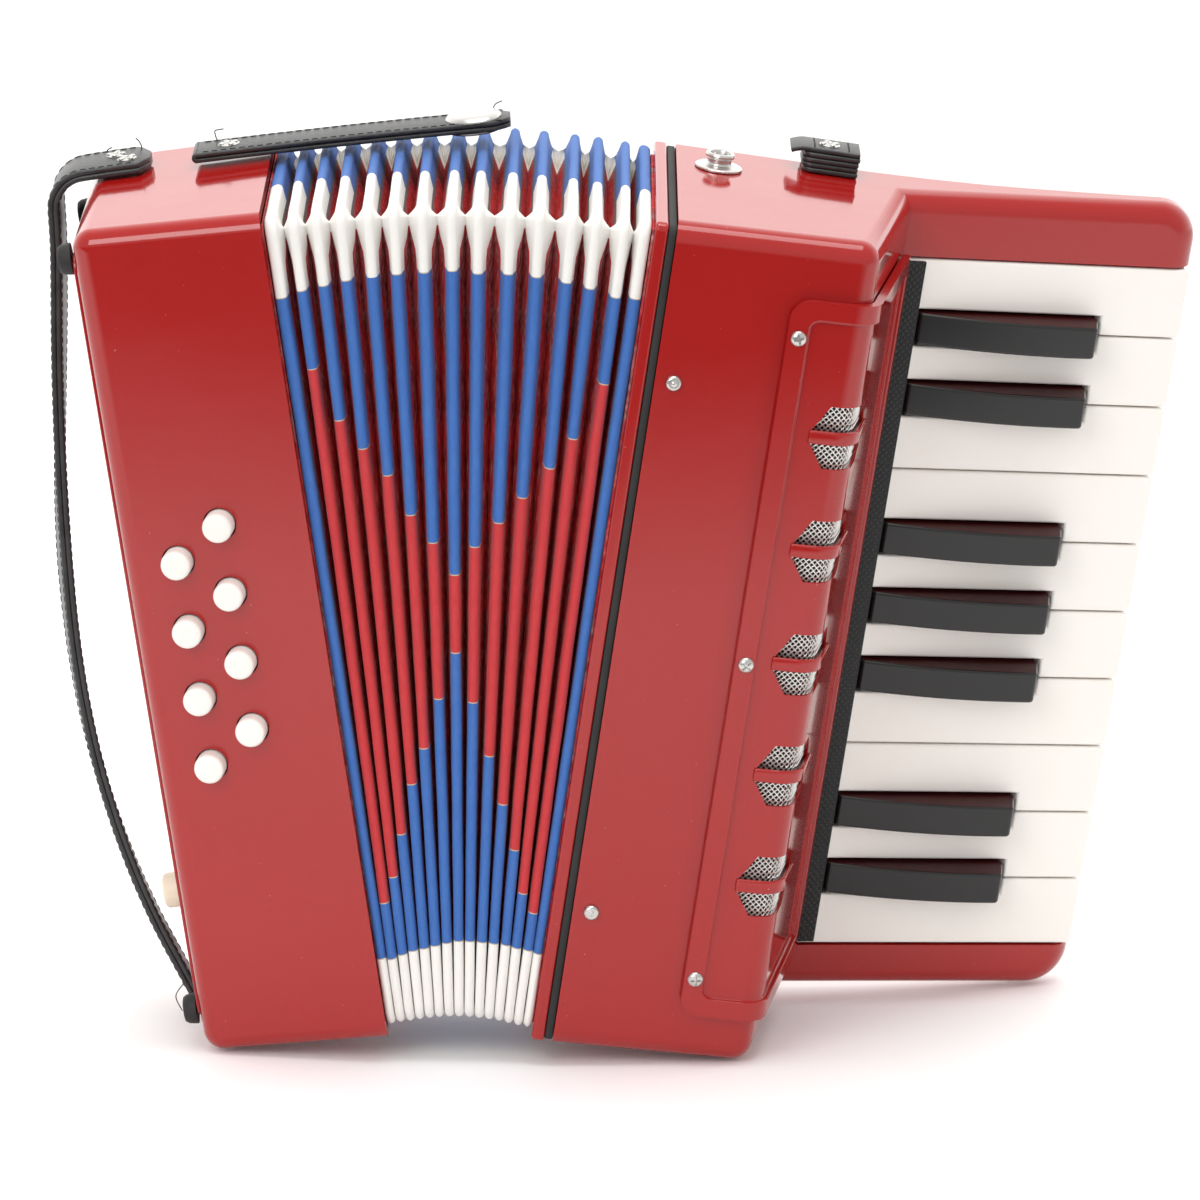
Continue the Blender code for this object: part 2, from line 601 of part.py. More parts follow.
def bass_button(number, x, z):
    button = piece(f"bass_button_{number}", cylinder(BUTTON_R, (x, -4.6, z), (x, 7.0, z)),
                   WHITE, BASS_FACE, (x, 0, z))
    bevel(button, 0.9, 2, 40)
    combine(button, f"button_flange_{number}",
            cylinder(BUTTON_R + 1.8, (x, 2.9, z), (x, 4.1, z)), "UNION")


def bass_side_plate():
    outline = round_rect((12, CASE_D - 5), inset(CASE_H, 6), 5, 4)
    air_hole = arc(AIR_Y, AIR_Z, AIR_R + 0.5, 0, 360 * 15 / 16, 15)
    plate_x = (BASS_OUTER - 2.0, BASS_OUTER - 0.35)
    plate = piece("bass_side_plate", prism(outline, plate_x, "YZ", [air_hole]), RED, BASS)
    for i, (y, z) in enumerate(FEET, 1):
        foot = cylinder(4.2, (BASS_OUTER - 1.0, y, z), (BASS_OUTER - 4.6, y, z), 16,
                        end_radius=3.6)
        combine(plate, f"foot_{i}", foot, "UNION")


def air_button():
    button = piece("air_button",
                   cylinder(AIR_R, (BASS_OUTER - 6.0, AIR_Y, AIR_Z),
                            (BASS_OUTER + 9.0, AIR_Y, AIR_Z)),
                   WHITE, BASS, (BASS_OUTER, AIR_Y, AIR_Z))
    bevel(button, 0.8, 2, 40)


# ---- straps -----------------------------------------------------------------
HAND_STEPS = 26                        # along the bowed length
HAND_Z = (CASE_H - 9.0, 9.0)           # top and bottom of the bowed length
HAND_BOW = 16.5
STRAP_Y, STRAP_X = 67.0, (BASS_INNER - 21.0, BASS_INNER + 66.0)
HINGE_X, HINGE_Z = BASS_INNER - 11.0, CASE_H + 3.0
STRAP_ANGLE, STRAP_STEPS = -1.45, 8


def hand_strap():
    """Along the top, over the outer corner, bowed out, and in near the bottom."""
    points = [(BASS_INNER - 34.0 - i * 4.6, CASE_H + 2.3) for i in range(4)]
    points += arc(BASS_OUTER - 0.5, CASE_H - 7.0, 9.3, 84, 176, 6)
    top, bottom = HAND_Z
    for i in range(1, HAND_STEPS):
        share = i / HAND_STEPS
        bow = HAND_BOW * sin(pi * share ** 1.35) ** 0.8
        points.append((BASS_OUTER - 9.6 - bow + 4.2 * share,
                       top * (1 - share) + bottom * share))
    points.append((BASS_OUTER - 5.0, 5.0))
    # the strap drifts back as it rises
    path = [(x, 46.0 + 25.0 * z / CASE_H, z) for x, z in points]
    piece("hand_strap", band(path, width=20.0, thick=3.0), LEATHER, BASS)


def bellows_strap():
    start, end = STRAP_X
    stations = [start + (end - start) * i / STRAP_STEPS for i in range(STRAP_STEPS + 1)]
    path = [(x, STRAP_Y, HINGE_Z + (x - HINGE_X) * tan(radians(STRAP_ANGLE)))
            for x in stations]
    strap = piece("bellows_strap", band(path, width=14.0, thick=2.8), LEATHER, BASS,
                  (HINGE_X, STRAP_Y, HINGE_Z))
    bevel(strap, 0.5, 1, 40)


# ---- build ------------------------------------------------------------------
for build in (treble_case, treble_rear_cover, grille, front_fasteners, treble_reed_board,
              top_fittings, keyboard, bellows_ends, bellows_folds, bass_case, bass_side_plate,
              air_button, hand_strap, bellows_strap):
    build()
bpy.context.view_layer.update()
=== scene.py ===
"""Looks of the toy piano accordion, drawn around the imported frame.

All shapes are computed in the same local frames as the solids, in millimetres:
X from the bass side to the keyboard, Y from front to back, Z up the treble case.
"""
import bpy
import bmesh
import random
from math import sin, cos, tan, atan2, hypot, pi, radians, sqrt, exp
from mathutils import Matrix, Vector


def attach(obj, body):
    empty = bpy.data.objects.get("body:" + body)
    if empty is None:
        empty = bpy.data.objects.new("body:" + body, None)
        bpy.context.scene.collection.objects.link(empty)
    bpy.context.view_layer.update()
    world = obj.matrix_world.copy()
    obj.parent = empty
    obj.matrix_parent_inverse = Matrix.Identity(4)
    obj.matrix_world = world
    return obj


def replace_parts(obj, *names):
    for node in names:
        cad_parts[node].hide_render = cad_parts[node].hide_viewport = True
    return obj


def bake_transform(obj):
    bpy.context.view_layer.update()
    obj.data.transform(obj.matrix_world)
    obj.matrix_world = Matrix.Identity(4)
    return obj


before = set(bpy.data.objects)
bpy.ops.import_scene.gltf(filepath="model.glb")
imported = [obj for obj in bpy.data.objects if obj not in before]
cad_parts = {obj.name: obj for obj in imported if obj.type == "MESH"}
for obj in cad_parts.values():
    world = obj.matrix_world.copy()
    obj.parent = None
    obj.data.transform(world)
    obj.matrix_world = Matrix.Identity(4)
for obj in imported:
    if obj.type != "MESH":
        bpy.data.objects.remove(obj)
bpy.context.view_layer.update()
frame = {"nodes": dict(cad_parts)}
random.seed(11)

MM = 0.001
CASE_H, CASE_D = 235.0, 93.0
TREBLE_W, TREBLE_SLOPE = 54.0, 6.0
BASS_W, BASS_SLOPE = 51.0, 7.0
WALL, GAP, FOLDS = 2.4, 44.6, 15
RIM_IN, RIM_OUT = -5.9, -2.4
PITCH_F = (GAP - 6.0) / FOLDS
FOLD_Y, FOLD_Z = (1.8, 91.0), (3.0, 233.4)
FAN_AXIS, FAN_REST = (-28.0, -2.0), 16.1
FAN_SHARE = (0.975, 0.93, 0.875, 0.815, 0.745, 0.68, 0.605, 0.525,
             0.455, 0.365, 0.285, 0.195, 0.135, 0.06, 0.02)
TREBLE_LEAN, TIP = 7.27, 7.05
KEY_ANGLE, KEY_ORIGIN, CHASSIS_END = 20.7, (65.5, 69.7), 148.0
KEY_TOP, KEY_PITCH, KEY_GAP, KEY_END = 216.9, 20.35, 0.5, 88.5
BLACK_AT, BLACK_W, BLACK_END, BLACK_TALL = (1, 2, 4, 5, 6, 8, 9), 9.1, 62.5, 9.5
AXLE_S, AXLE_Q, AXLE_R = 2.5, 8.0, 1.5
BUTTON_R, BUTTON_STEP = 4.1, 19.4
BUTTON_COLUMNS = ((36.5, 142.3), (23.6, 151.7))
STUD_AT, STRAP_Y = (11.5, 67.0), 67.0
GRILLE_LEFT, GRILLE_Z = 32.8, (14.0, 219.0)
OPENINGS, SCREW_Z, PIN_Z = (181.6, 149.6, 117.3, 85.2, 53.0), (208.4, 116.4, 24.9), (191.8, 40.5)
B0, B1 = -GAP, -GAP - BASS_W
CORNER_R = 6.0


def mm(x, y, z):
    return Vector((x, y, z)) * MM


# ---- frames -----------------------------------------------------------------
def about_fan(share):
    c = Matrix.Translation(mm(FAN_AXIS[0], 0, FAN_AXIS[1]))
    return c @ Matrix.Rotation(radians(-FAN_REST * share), 4, "Y") @ c.inverted()


lean, tip = Matrix.Rotation(radians(TREBLE_LEAN), 4, "Y"), Matrix.Rotation(radians(TIP), 4, "X")
low = [tip @ lean @ v for v in (mm(TREBLE_W, TREBLE_SLOPE, 0), about_fan(1) @ mm(B1, BASS_SLOPE, 0),
                                mm(CHASSIS_END, 101, 0))]
lift = -min(v.z for v in low) - 0.4 * MM
centre = tip @ lean @ mm(FAN_AXIS[0], CASE_D / 2, FAN_AXIS[1])
BOX_MIDDLE = (44.910, -2.187)
PUT = Matrix.Translation((-centre.x - BOX_MIDDLE[0] * MM, -centre.y - BOX_MIDDLE[1] * MM, lift))
TREBLE = PUT @ tip @ lean
KEYS = TREBLE @ Matrix.Translation(mm(*KEY_ORIGIN, 0)) @ Matrix.Rotation(radians(KEY_ANGLE), 4, "Z")
T_FACE = TREBLE @ Matrix.Rotation(atan2(TREBLE_SLOPE, TREBLE_W), 4, "Z")
BASS = TREBLE @ about_fan(1)
B_FACE = BASS @ Matrix.Translation(mm(-GAP, 0, 0)) @ Matrix.Rotation(-atan2(BASS_SLOPE, BASS_W), 4, "Z")


# ---- materials --------------------------------------------------------------
class Nodes:
    """A few shorthands for a material's node tree."""
    def __init__(self, name):
        self.m = bpy.data.materials.new(name)
        self.m.use_nodes = True
        self.t = self.m.node_tree
        self.p = self.t.nodes["Principled BSDF"]

    def new(self, kind, **values):
        n = self.t.nodes.new(kind)
        for k, v in values.items():
            if k in n.inputs.keys():
                n.inputs[k].default_value = v
            else:
                setattr(n, k, v)
        return n

    def link(self, a, b):
        self.t.links.new(a, b)

    def set(self, **values):
        for k, v in values.items():
            self.p.inputs[k.replace("_", " ")].default_value = v

    def where(self, scale=(1, 1, 1), rot=(0, 0, 0)):
        a = self.new("ShaderNodeAttribute", attribute_name="loc")
        m = self.new("ShaderNodeMapping", Scale=scale, Rotation=rot)
        self.link(a.outputs["Vector"], m.inputs["Vector"])
        return m.outputs["Vector"]

    def noise(self, scale, detail=2.0, rough=0.5, stretch=(1, 1, 1), rot=(0, 0, 0)):
        n = self.new("ShaderNodeTexNoise", Scale=scale, Detail=detail, Roughness=rough)
        self.link(self.where(stretch, rot), n.inputs["Vector"])
        return n.outputs["Fac"]

    def ramp(self, fac, stops):
        r = self.new("ShaderNodeValToRGB")
        e = r.color_ramp.elements
        while len(e) < len(stops):
            e.new(0.5)
        for el, (pos, c) in zip(e, stops):
            el.position = pos
            el.color = (*c, 1) if len(c) == 3 else c
        self.link(fac, r.inputs["Fac"])
        return r.outputs["Color"]

    def math(self, op, a, b=None, c=None):
        n = self.new("ShaderNodeMath", operation=op)
        for i, v in enumerate((a, b, c)):
            if v is None:
                continue
            if isinstance(v, (int, float)):
                n.inputs[i].default_value = v
            else:
                self.link(v, n.inputs[i])
        return n.outputs[0]

    def mix(self, fac, a, b, mode="MIX"):
        n = self.new("ShaderNodeMix", data_type="RGBA", blend_type=mode)
        for i, v in ((0, fac), (6, a), (7, b)):
            if isinstance(v, (int, float)):
                n.inputs[i].default_value = v
            elif isinstance(v, tuple):
                n.inputs[i].default_value = (*v, 1) if len(v) == 3 else v
            else:
                self.link(v, n.inputs[i])
        return n.outputs[2]

    def bump(self, height, strength, distance=0.0002, after=None):
        n = self.new("ShaderNodeBump", Strength=strength, Distance=distance)
        self.link(height, n.inputs["Height"])
        if after is not None:
            self.link(after, n.inputs["Normal"])
        self.link(n.outputs["Normal"], self.p.inputs["Normal"])
        return n.outputs["Normal"]


def gloss_plastic(name, colour, dark, rough=0.09, coat=0.0, speck=True):
    n = Nodes(name)
    big = n.noise(0.012, 3, 0.6)
    col = n.mix(n.math("MULTIPLY", big, 0.5), colour, dark)
    if speck:   # dust and pin-prick marks
        fine = n.noise(0.9, 1, 0.4)
        col = n.mix(n.math("MULTIPLY", n.math("GREATER_THAN", fine, 0.812), 0.2), col, (0.8, 0.45, 0.4))
    n.link(col, n.p.inputs["Base Color"])
    r = n.noise(0.05, 4, 0.6)
    n.link(n.math("MULTIPLY_ADD", r, 0.07, rough - 0.035), n.p.inputs["Roughness"])
    n.bump(n.noise(0.035, 2, 0.5), 0.25, 0.0006)      # slow ripple of moulded sheet
    n.set(IOR=1.5, Coat_Weight=coat, Coat_Roughness=0.04)
    return n.m


def cloth(name, colour, dark, light, thread=2.4, bump=0.45):
    """Book-cloth tape: crossed threads, with lighter fibres mixed in."""
    n = Nodes(name)
    a = n.new("ShaderNodeTexWave", Scale=thread, Distortion=1.2, wave_type="BANDS", bands_direction="Z")
    b = n.new("ShaderNodeTexWave", Scale=thread, Distortion=1.2, wave_type="BANDS", bands_direction="DIAGONAL")
    n.link(n.where(), a.inputs["Vector"])
    n.link(n.where((1, 1, 0.0)), b.inputs["Vector"])
    a.inputs["Detail Scale"].default_value = b.inputs["Detail Scale"].default_value = 1.5
    weave = n.math("MULTIPLY", n.math("ADD", a.outputs["Fac"], b.outputs["Fac"]), 0.5)
    patch = n.noise(0.11, 4, 0.65)
    fibre = n.noise(1.3, 3, 0.7, (1, 1, 0.25))
    col = n.mix(patch, dark, colour)
    col = n.mix(n.math("MULTIPLY", fibre, 0.42), col, light)
    n.link(n.mix(n.math("MULTIPLY", weave, 0.16), col, dark), n.p.inputs["Base Color"])
    first = n.bump(weave, bump * 0.6, 0.00012)
    n.bump(fibre, bump, 0.0002, first)
    n.set(Roughness=0.62, Sheen_Weight=0.12, Sheen_Roughness=0.4, Specular_IOR_Level=0.35)
    return n.m


def leatherette(name="leatherette"):
    n = Nodes(name)
    v = n.new("ShaderNodeTexVoronoi", Scale=1.5, feature="SMOOTH_F1", Smoothness=0.35)
    n.link(n.where(), v.inputs["Vector"])
    grain = n.math("MULTIPLY", v.outputs["Distance"], -1.0)
    wear = n.noise(0.22, 4, 0.7)
    n.link(n.ramp(wear, ((0.3, (0.012, 0.012, 0.013)), (0.75, (0.032, 0.032, 0.034)))), n.p.inputs["Base Color"])
    n.link(n.math("MULTIPLY_ADD", wear, 0.2, 0.28), n.p.inputs["Roughness"])
    n.bump(grain, 0.35, 0.0002)
    n.set(Specular_IOR_Level=0.55)
    return n.m


def metal(name, colour, rough):
    n = Nodes(name)
    s = n.noise(0.8, 4, 0.6)
    n.link(n.mix(n.math("MULTIPLY", s, 0.3), colour, (colour[0] * 0.6, colour[1] * 0.58, colour[2] * 0.55)), n.p.inputs["Base Color"])
    n.link(n.math("MULTIPLY_ADD", s, 0.14, rough), n.p.inputs["Roughness"])
    n.bump(n.noise(1.8, 2), 0.12, 0.0001)
    n.set(Metallic=1.0)
    return n.m


def plain(name, colour, dark, rough, bump=0.1, grain=1.0, spec=0.5, coat=0.0):
    n = Nodes(name)
    s = n.noise(grain, 3, 0.6)
    n.link(n.mix(n.noise(0.04 * grain + 0.01, 3), colour, dark), n.p.inputs["Base Color"])
    n.link(n.math("MULTIPLY_ADD", s, 0.1, rough - 0.05), n.p.inputs["Roughness"])
    n.bump(s, bump, 0.0001)
    n.set(Specular_IOR_Level=spec, Coat_Weight=coat)
    return n.m


def inner_cloth():
    """Dark red patterned cloth inside the pleats, with grey flecks and a card showing."""
    n = Nodes("pleat_cloth")
    c = n.new("ShaderNodeTexChecker", Scale=0.62)
    n.link(n.where((1, 1, 1), (0.0, 0.0, 0.0)), c.inputs["Vector"])
    v = n.new("ShaderNodeTexVoronoi", Scale=0.75)
    n.link(n.where((1, 1, 0.55)), v.inputs["Vector"])
    n1 = n.noise(0.5, 4, 0.75, (1, 1, 0.35))
    n2 = n.noise(0.12, 3, 0.6, (1, 1, 0.5))
    red = n.ramp(n1, ((0.25, (0.15, 0.009, 0.010)), (0.46, (0.60, 0.032, 0.034)), (0.6, (0.78, 0.10, 0.10)), (0.74, (0.88, 0.44, 0.42))))
    grey = n.ramp(v.outputs["Distance"], ((0.1, (0.55, 0.52, 0.52)), (0.45, (0.2, 0.18, 0.18)), (0.8, (0.05, 0.045, 0.045))))
    fac = n.ramp(n2, ((0.46, (0, 0, 0)), (0.60, (1, 1, 1))))
    n.link(n.mix(n.math("MULTIPLY", fac, 0.6), red, grey), n.p.inputs["Base Color"])
    n.bump(n1, 0.5, 0.0002)
    n.set(Roughness=0.75, Specular_IOR_Level=0.25)
    return n.m


def dimpled():
    """Black strip pressed with small lozenges."""
    n = Nodes("dimpled_strip")
    w = n.where((1, 1, 1), (0, radians(45), 0))
    v = n.new("ShaderNodeTexVoronoi", Scale=0.72, Randomness=0.0, feature="F1")
    n.link(w, v.inputs["Vector"])
    spot = n.ramp(v.outputs["Distance"], ((0.18, (1, 1, 1)), (0.42, (0, 0, 0))))
    n.link(n.mix(spot, (0.005, 0.005, 0.0055), (0.022, 0.023, 0.024)), n.p.inputs["Base Color"])
    n.bump(spot, 0.7, 0.0003)
    n.set(Roughness=0.5, Specular_IOR_Level=0.4)
    return n.m


RED = gloss_plastic("gloss_red_plastic", (0.365, 0.0078, 0.0065), (0.315, 0.0055, 0.0045), 0.1, 0.2)
WHITE = plain("white_key_plastic", (0.92, 0.89, 0.85), (0.89, 0.855, 0.805), 0.3, 0.04, 0.5)
BLACK = plain("black_key_plastic", (0.018, 0.018, 0.018), (0.011, 0.011, 0.011), 0.2, 0.05, 0.5, 0.42)
BUTTON = plain("button_plastic", (0.88, 0.85, 0.81), (0.84, 0.80, 0.75), 0.42, 0.05, 0.5)
CREAM = plain("cream_plastic", (0.80, 0.72, 0.58), (0.72, 0.62, 0.47), 0.4, 0.05, 0.5)
LEATHER = leatherette()
EDGE = plain("strap_edge", (0.012, 0.012, 0.012), (0.02, 0.019, 0.018), 0.7, 0.5, 2.2, 0.3)
THREAD = plain("thread", (0.012, 0.012, 0.013), (0.03, 0.03, 0.03), 0.7, 0.3, 6.0, 0.3)
CHROME = metal("nickel_plate", (0.64, 0.63, 0.61), 0.2)
WIRE = metal("wire", (0.95, 0.94, 0.92), 0.3)
DARK_METAL = metal("dark_metal", (0.16, 0.15, 0.15), 0.3)
STEEL = metal("drawn_steel", (0.55, 0.55, 0.54), 0.3)
GASKET = plain("black_gasket", (0.02, 0.021, 0.021), (0.04, 0.041, 0.04), 0.68, 0.5, 1.4, 0.3)
RUBBER = plain("foot_rubber", (0.016, 0.016, 0.016), (0.03, 0.03, 0.03), 0.6, 0.3, 1.5, 0.35)
CARD = plain("reed_board", (0.50, 0.36, 0.2), (0.40, 0.27, 0.14), 0.6, 0.3, 0.6, 0.3)
BLUE_T = cloth("blue_tape", (0.034, 0.140, 0.47), (0.018, 0.085, 0.34), (0.12, 0.29, 0.66))
RED_T = cloth("red_tape", (0.58, 0.022, 0.030), (0.42, 0.013, 0.018), (0.70, 0.11, 0.115))
WHITE_T = cloth("white_tape", (0.86, 0.84, 0.81), (0.79, 0.77, 0.73), (0.93, 0.92, 0.90), bump=0.3)
FRAY = cloth("frayed_edge", (0.62, 0.52, 0.32), (0.42, 0.33, 0.2), (0.8, 0.7, 0.5))
GREY_T = cloth("grey_lining", (0.10, 0.10, 0.11), (0.03, 0.03, 0.035), (0.30, 0.29, 0.28))
GUSSET = cloth("gusset_cloth", (0.84, 0.81, 0.74), (0.70, 0.65, 0.57), (0.92, 0.90, 0.86), bump=0.3)
PLEAT = inner_cloth()
# dark red painted on the black keys' upward side faces: a painted reflection of the red key bed seen through the notch
# gap
BLACK_SIDE_RED_REFLECTION = plain("black_key_side_painted_red_reflection", (0.05, 0.0035, 0.0035), (0.025, 0.002, 0.002), 0.5, 0.1, 0.6, 0.18)
STRIP = dimpled()
# near-black colour for a sheet behind the grille openings: painted shade standing in for the dark inside of the case
CASE_INSIDE_SHADE = plain("painted_inside_shade", (0.02, 0.012, 0.012), (0.03, 0.02, 0.02), 0.8)

# ---- mesh helpers -----------------------------------------------------------
SHOWN = []


def put_loc(mesh, points):
    a = mesh.attributes.get("loc") or mesh.attributes.new("loc", "FLOAT_VECTOR", "POINT")
    flat = [c for p in points for c in p]
    a.data.foreach_set("vector", flat)


def show(name, mesh, mats, matrix, body, replaces=(), smooth=32, ride=True):
    """Places a mesh that is drawn in metres in a local frame. Its local points, in mm, are kept for the textures."""
    put_loc(mesh, [v.co / MM for v in mesh.vertices])
    mesh.transform(matrix)
    mesh.materials.clear()
    for m in (mats if isinstance(mats, (list, tuple)) else [mats]):
        mesh.materials.append(m)
    if smooth:
        mesh.shade_smooth()
        mesh.set_sharp_from_angle(angle=radians(smooth))
    o = bpy.data.objects.new(name, mesh)
    bpy.context.scene.collection.objects.link(o)
    if ride:
        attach(o, body)
    if replaces:
        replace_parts(o, *replaces)
    SHOWN.append(o)
    return o


def grid_mesh(name, rows, closed_rows=False, closed_cols=False, cap=False, mat_of=None):
    """Rows of points (mm) joined into quads; closed_cols joins each row's ends, closed_rows the last row to the first."""
    mesh = bpy.data.meshes.new(name)
    n, m = len(rows), len(rows[0])
    verts = [Vector(p) * MM for r in rows for p in r]
    faces, mats = [], []
    for i in range(n if closed_rows else n - 1):
        for j in range(m if closed_cols else m - 1):
            a, b = i * m + j, i * m + (j + 1) % m
            c, d = ((i + 1) % n) * m + (j + 1) % m, ((i + 1) % n) * m + j
            faces.append((a, b, c, d))
            mats.append(mat_of(i, j) if mat_of else 0)
    if cap:
        faces.append(tuple(range(m))[::-1])
        faces.append(tuple(range((n - 1) * m, n * m)))
        mats += [0, 0]
    mesh.from_pydata(verts, [], faces)
    mesh.polygons.foreach_set("material_index", mats)
    return mesh


def fix_normals(mesh):
    bm = bmesh.new()
    bm.from_mesh(mesh)
    bmesh.ops.recalc_face_normals(bm, faces=bm.faces)
    bm.to_mesh(mesh)
    bm.free()
    return mesh


def join(meshes):
    bm = bmesh.new()
    for me in meshes:
        bm.from_mesh(me)
    out = bpy.data.meshes.new("joined")
    bm.to_mesh(out)
    bm.free()
    return out


AXES = {
    "XY": Matrix.Identity(4),
    "XZ": Matrix(((1, 0, 0, 0), (0, 0, 1, 0), (0, 1, 0, 0), (0, 0, 0, 1))),
    "YZ": Matrix(((0, 0, 1, 0), (1, 0, 0, 0), (0, 1, 0, 0), (0, 0, 0, 1))),
}


def prism(outlines, lo, hi, plane="XY"):
    if isinstance(outlines[0][0], (int, float)):
        outlines = [outlines]
    c = bpy.data.curves.new("outline", "CURVE")
    c.dimensions = "2D"
    c.fill_mode = "BOTH"
    c.extrude = (hi - lo) / 2 * MM
    for pts in outlines:
        s = c.splines.new("POLY")
        s.points.add(len(pts) - 1)
        for p, (x, y) in zip(s.points, pts):
            p.co = (x * MM, y * MM, 0, 1)
        s.use_cyclic_u = True
    o = bpy.data.objects.new("outline", c)
    bpy.context.scene.collection.objects.link(o)
    bpy.context.view_layer.update()
    mesh = bpy.data.meshes.new_from_object(o.evaluated_get(bpy.context.evaluated_depsgraph_get()))
    bpy.data.objects.remove(o)
    bpy.data.curves.remove(c)
    mesh.transform(AXES[plane] @ Matrix.Translation((0, 0, (lo + hi) / 2 * MM)))
    bm = bmesh.new()
    bm.from_mesh(mesh)
    bmesh.ops.remove_doubles(bm, verts=bm.verts, dist=2e-6)
    bmesh.ops.dissolve_limit(bm, angle_limit=radians(0.5), verts=bm.verts, edges=bm.edges)
    bmesh.ops.recalc_face_normals(bm, faces=bm.faces)
    bm.to_mesh(mesh)
    bm.free()
    return mesh


def box(x0, x1, y0, y1, z0, z1):
    bm = bmesh.new()
    bmesh.ops.create_cube(bm, size=1)
    bmesh.ops.scale(bm, vec=mm(x1 - x0, y1 - y0, z1 - z0), verts=bm.verts)
    bmesh.ops.translate(bm, vec=mm((x0 + x1) / 2, (y0 + y1) / 2, (z0 + z1) / 2), verts=bm.verts)
    mesh = bpy.data.meshes.new("box")
    bm.to_mesh(mesh)
    bm.free()
    return mesh


def cylinder(r, start, end, segments=32, r2=None):
    a, b = mm(*start), mm(*end)
    bm = bmesh.new()
    bmesh.ops.create_cone(bm, cap_ends=True, segments=segments, radius1=r * MM,
                          radius2=(r if r2 is None else r2) * MM, depth=(b - a).length)
    turn = (b - a).to_track_quat("Z", "Y").to_matrix().to_4x4()
    bmesh.ops.transform(bm, matrix=Matrix.Translation((a + b) / 2) @ turn, verts=bm.verts)
    mesh = bpy.data.meshes.new("cylinder")
    bm.to_mesh(mesh)
    bm.free()
    return mesh


def turned(profile, steps=40):
    """Turned about local Z: profile of (radius, height)."""
    rows = []
    for i in range(steps):
        a = 2 * pi * i / steps
        rows.append([(max(r, 0.0005) * cos(a), max(r, 0.0005) * sin(a), h) for r, h in profile])
    m = grid_mesh("turned", rows, closed_rows=True)
    bm = bmesh.new()
    bm.from_mesh(m)
    bmesh.ops.remove_doubles(bm, verts=bm.verts, dist=1e-6)
    bmesh.ops.recalc_face_normals(bm, faces=bm.faces)
    bm.to_mesh(m)
    bm.free()
    return m


def tube(points, r, sides=6, cap=True):
    """A thin tube along points (mm)."""
    rows = []
    for i, p in enumerate(points):
        a, b = Vector(points[max(i - 1, 0)]), Vector(points[min(i + 1, len(points) - 1)])
        t = (b - a).normalized()
        side = t.cross(Vector((0.13, 0.31, 0.94)))
        if side.length < 0.2:
            side = t.cross(Vector((1, 0, 0)))
        side.normalize()
        up = side.cross(t)
        rows.append([Vector(p) + (side * cos(2 * pi * k / sides) + up * sin(2 * pi * k / sides)) * r for k in range(sides)])
    return grid_mesh("tube", rows, closed_cols=True, cap=cap)


def apply(mesh, steps):
    """Runs modifiers over a mesh. Steps: ("bevel", width, segments, angle), ("cut"|"join"|"keep", mesh), ("weighted",), ("subsurf", n)."""
    o = bpy.data.objects.new("work", mesh)
    bpy.context.scene.collection.objects.link(o)
    extra = []
    for s in steps:
        if s[0] == "bevel":
            b = o.modifiers.new("Bevel", "BEVEL")
            b.width, b.segments, b.limit_method, b.angle_limit = s[1] * MM, s[2], "ANGLE", radians(s[3])
            b.profile = 0.5
        elif s[0] == "subsurf":
            b = o.modifiers.new("Sub", "SUBSURF")
            b.levels = b.render_levels = s[1]
        elif s[0] == "weighted":
            o.data.shade_smooth()
            b = o.modifiers.new("Weighted", "WEIGHTED_NORMAL")
            b.keep_sharp = True
            b.weight = 100
        else:
            c = bpy.data.objects.new("cutter", s[1])
            bpy.context.scene.collection.objects.link(c)
            extra.append(c)
            b = o.modifiers.new("Bool", "BOOLEAN")
            b.operation = {"cut": "DIFFERENCE", "join": "UNION", "keep": "INTERSECT"}[s[0]]
            b.solver = "EXACT"
            b.object = c
    bpy.context.view_layer.update()
    out = bpy.data.meshes.new_from_object(o.evaluated_get(bpy.context.evaluated_depsgraph_get()))
    for x in [o] + extra:
        bpy.data.objects.remove(x)
    return out


def round_edges(mesh, chosen, width, segments=7):
    """Rounds the edges that chosen(edge) picks, all by the same width."""
    bm = bmesh.new()
    bm.from_mesh(mesh)
    bmesh.ops.remove_doubles(bm, verts=bm.verts, dist=2e-6)
    bmesh.ops.dissolve_limit(bm, angle_limit=radians(0.5), verts=bm.verts, edges=bm.edges)
    bmesh.ops.recalc_face_normals(bm, faces=bm.faces)
    bm.normal_update()
    edges = [e for e in bm.edges if len(e.link_faces) == 2 and chosen(e)]
    bmesh.ops.bevel(bm, geom=edges, offset=width * MM, offset_type="OFFSET", segments=segments, profile=0.5, affect="EDGES", clamp_overlap=False)
    bmesh.ops.recalc_face_normals(bm, faces=bm.faces)
    bm.to_mesh(mesh)
    bm.free()
    return mesh


def outline_edge(x_open):
    """Edges between a case's rim (top, end, bottom) and its front, side or back walls; x_open is the side at the bellows."""
    def chosen(e):
        a, b = (f.normal for f in e.link_faces)
        if all(abs(v.co.x / MM - x_open) < 0.02 for v in e.verts):
            return False
        lies = [abs(n.y) < 0.03 for n in (a, b)]
        return lies[0] != lies[1] and a.angle(b) > radians(28)
    return chosen


def weld(mesh, dist=2e-6):
    bm = bmesh.new()
    bm.from_mesh(mesh)
    bmesh.ops.remove_doubles(bm, verts=bm.verts, dist=dist)
    bmesh.ops.recalc_face_normals(bm, faces=bm.faces)
    bm.to_mesh(mesh)
    bm.free()
    return mesh


def arc(cx, cy, r, a0, a1, n):
    return [(cx + r * cos(radians(a0 + (a1 - a0) * i / n)), cy + r * sin(radians(a0 + (a1 - a0) * i / n))) for i in range(n + 1)]


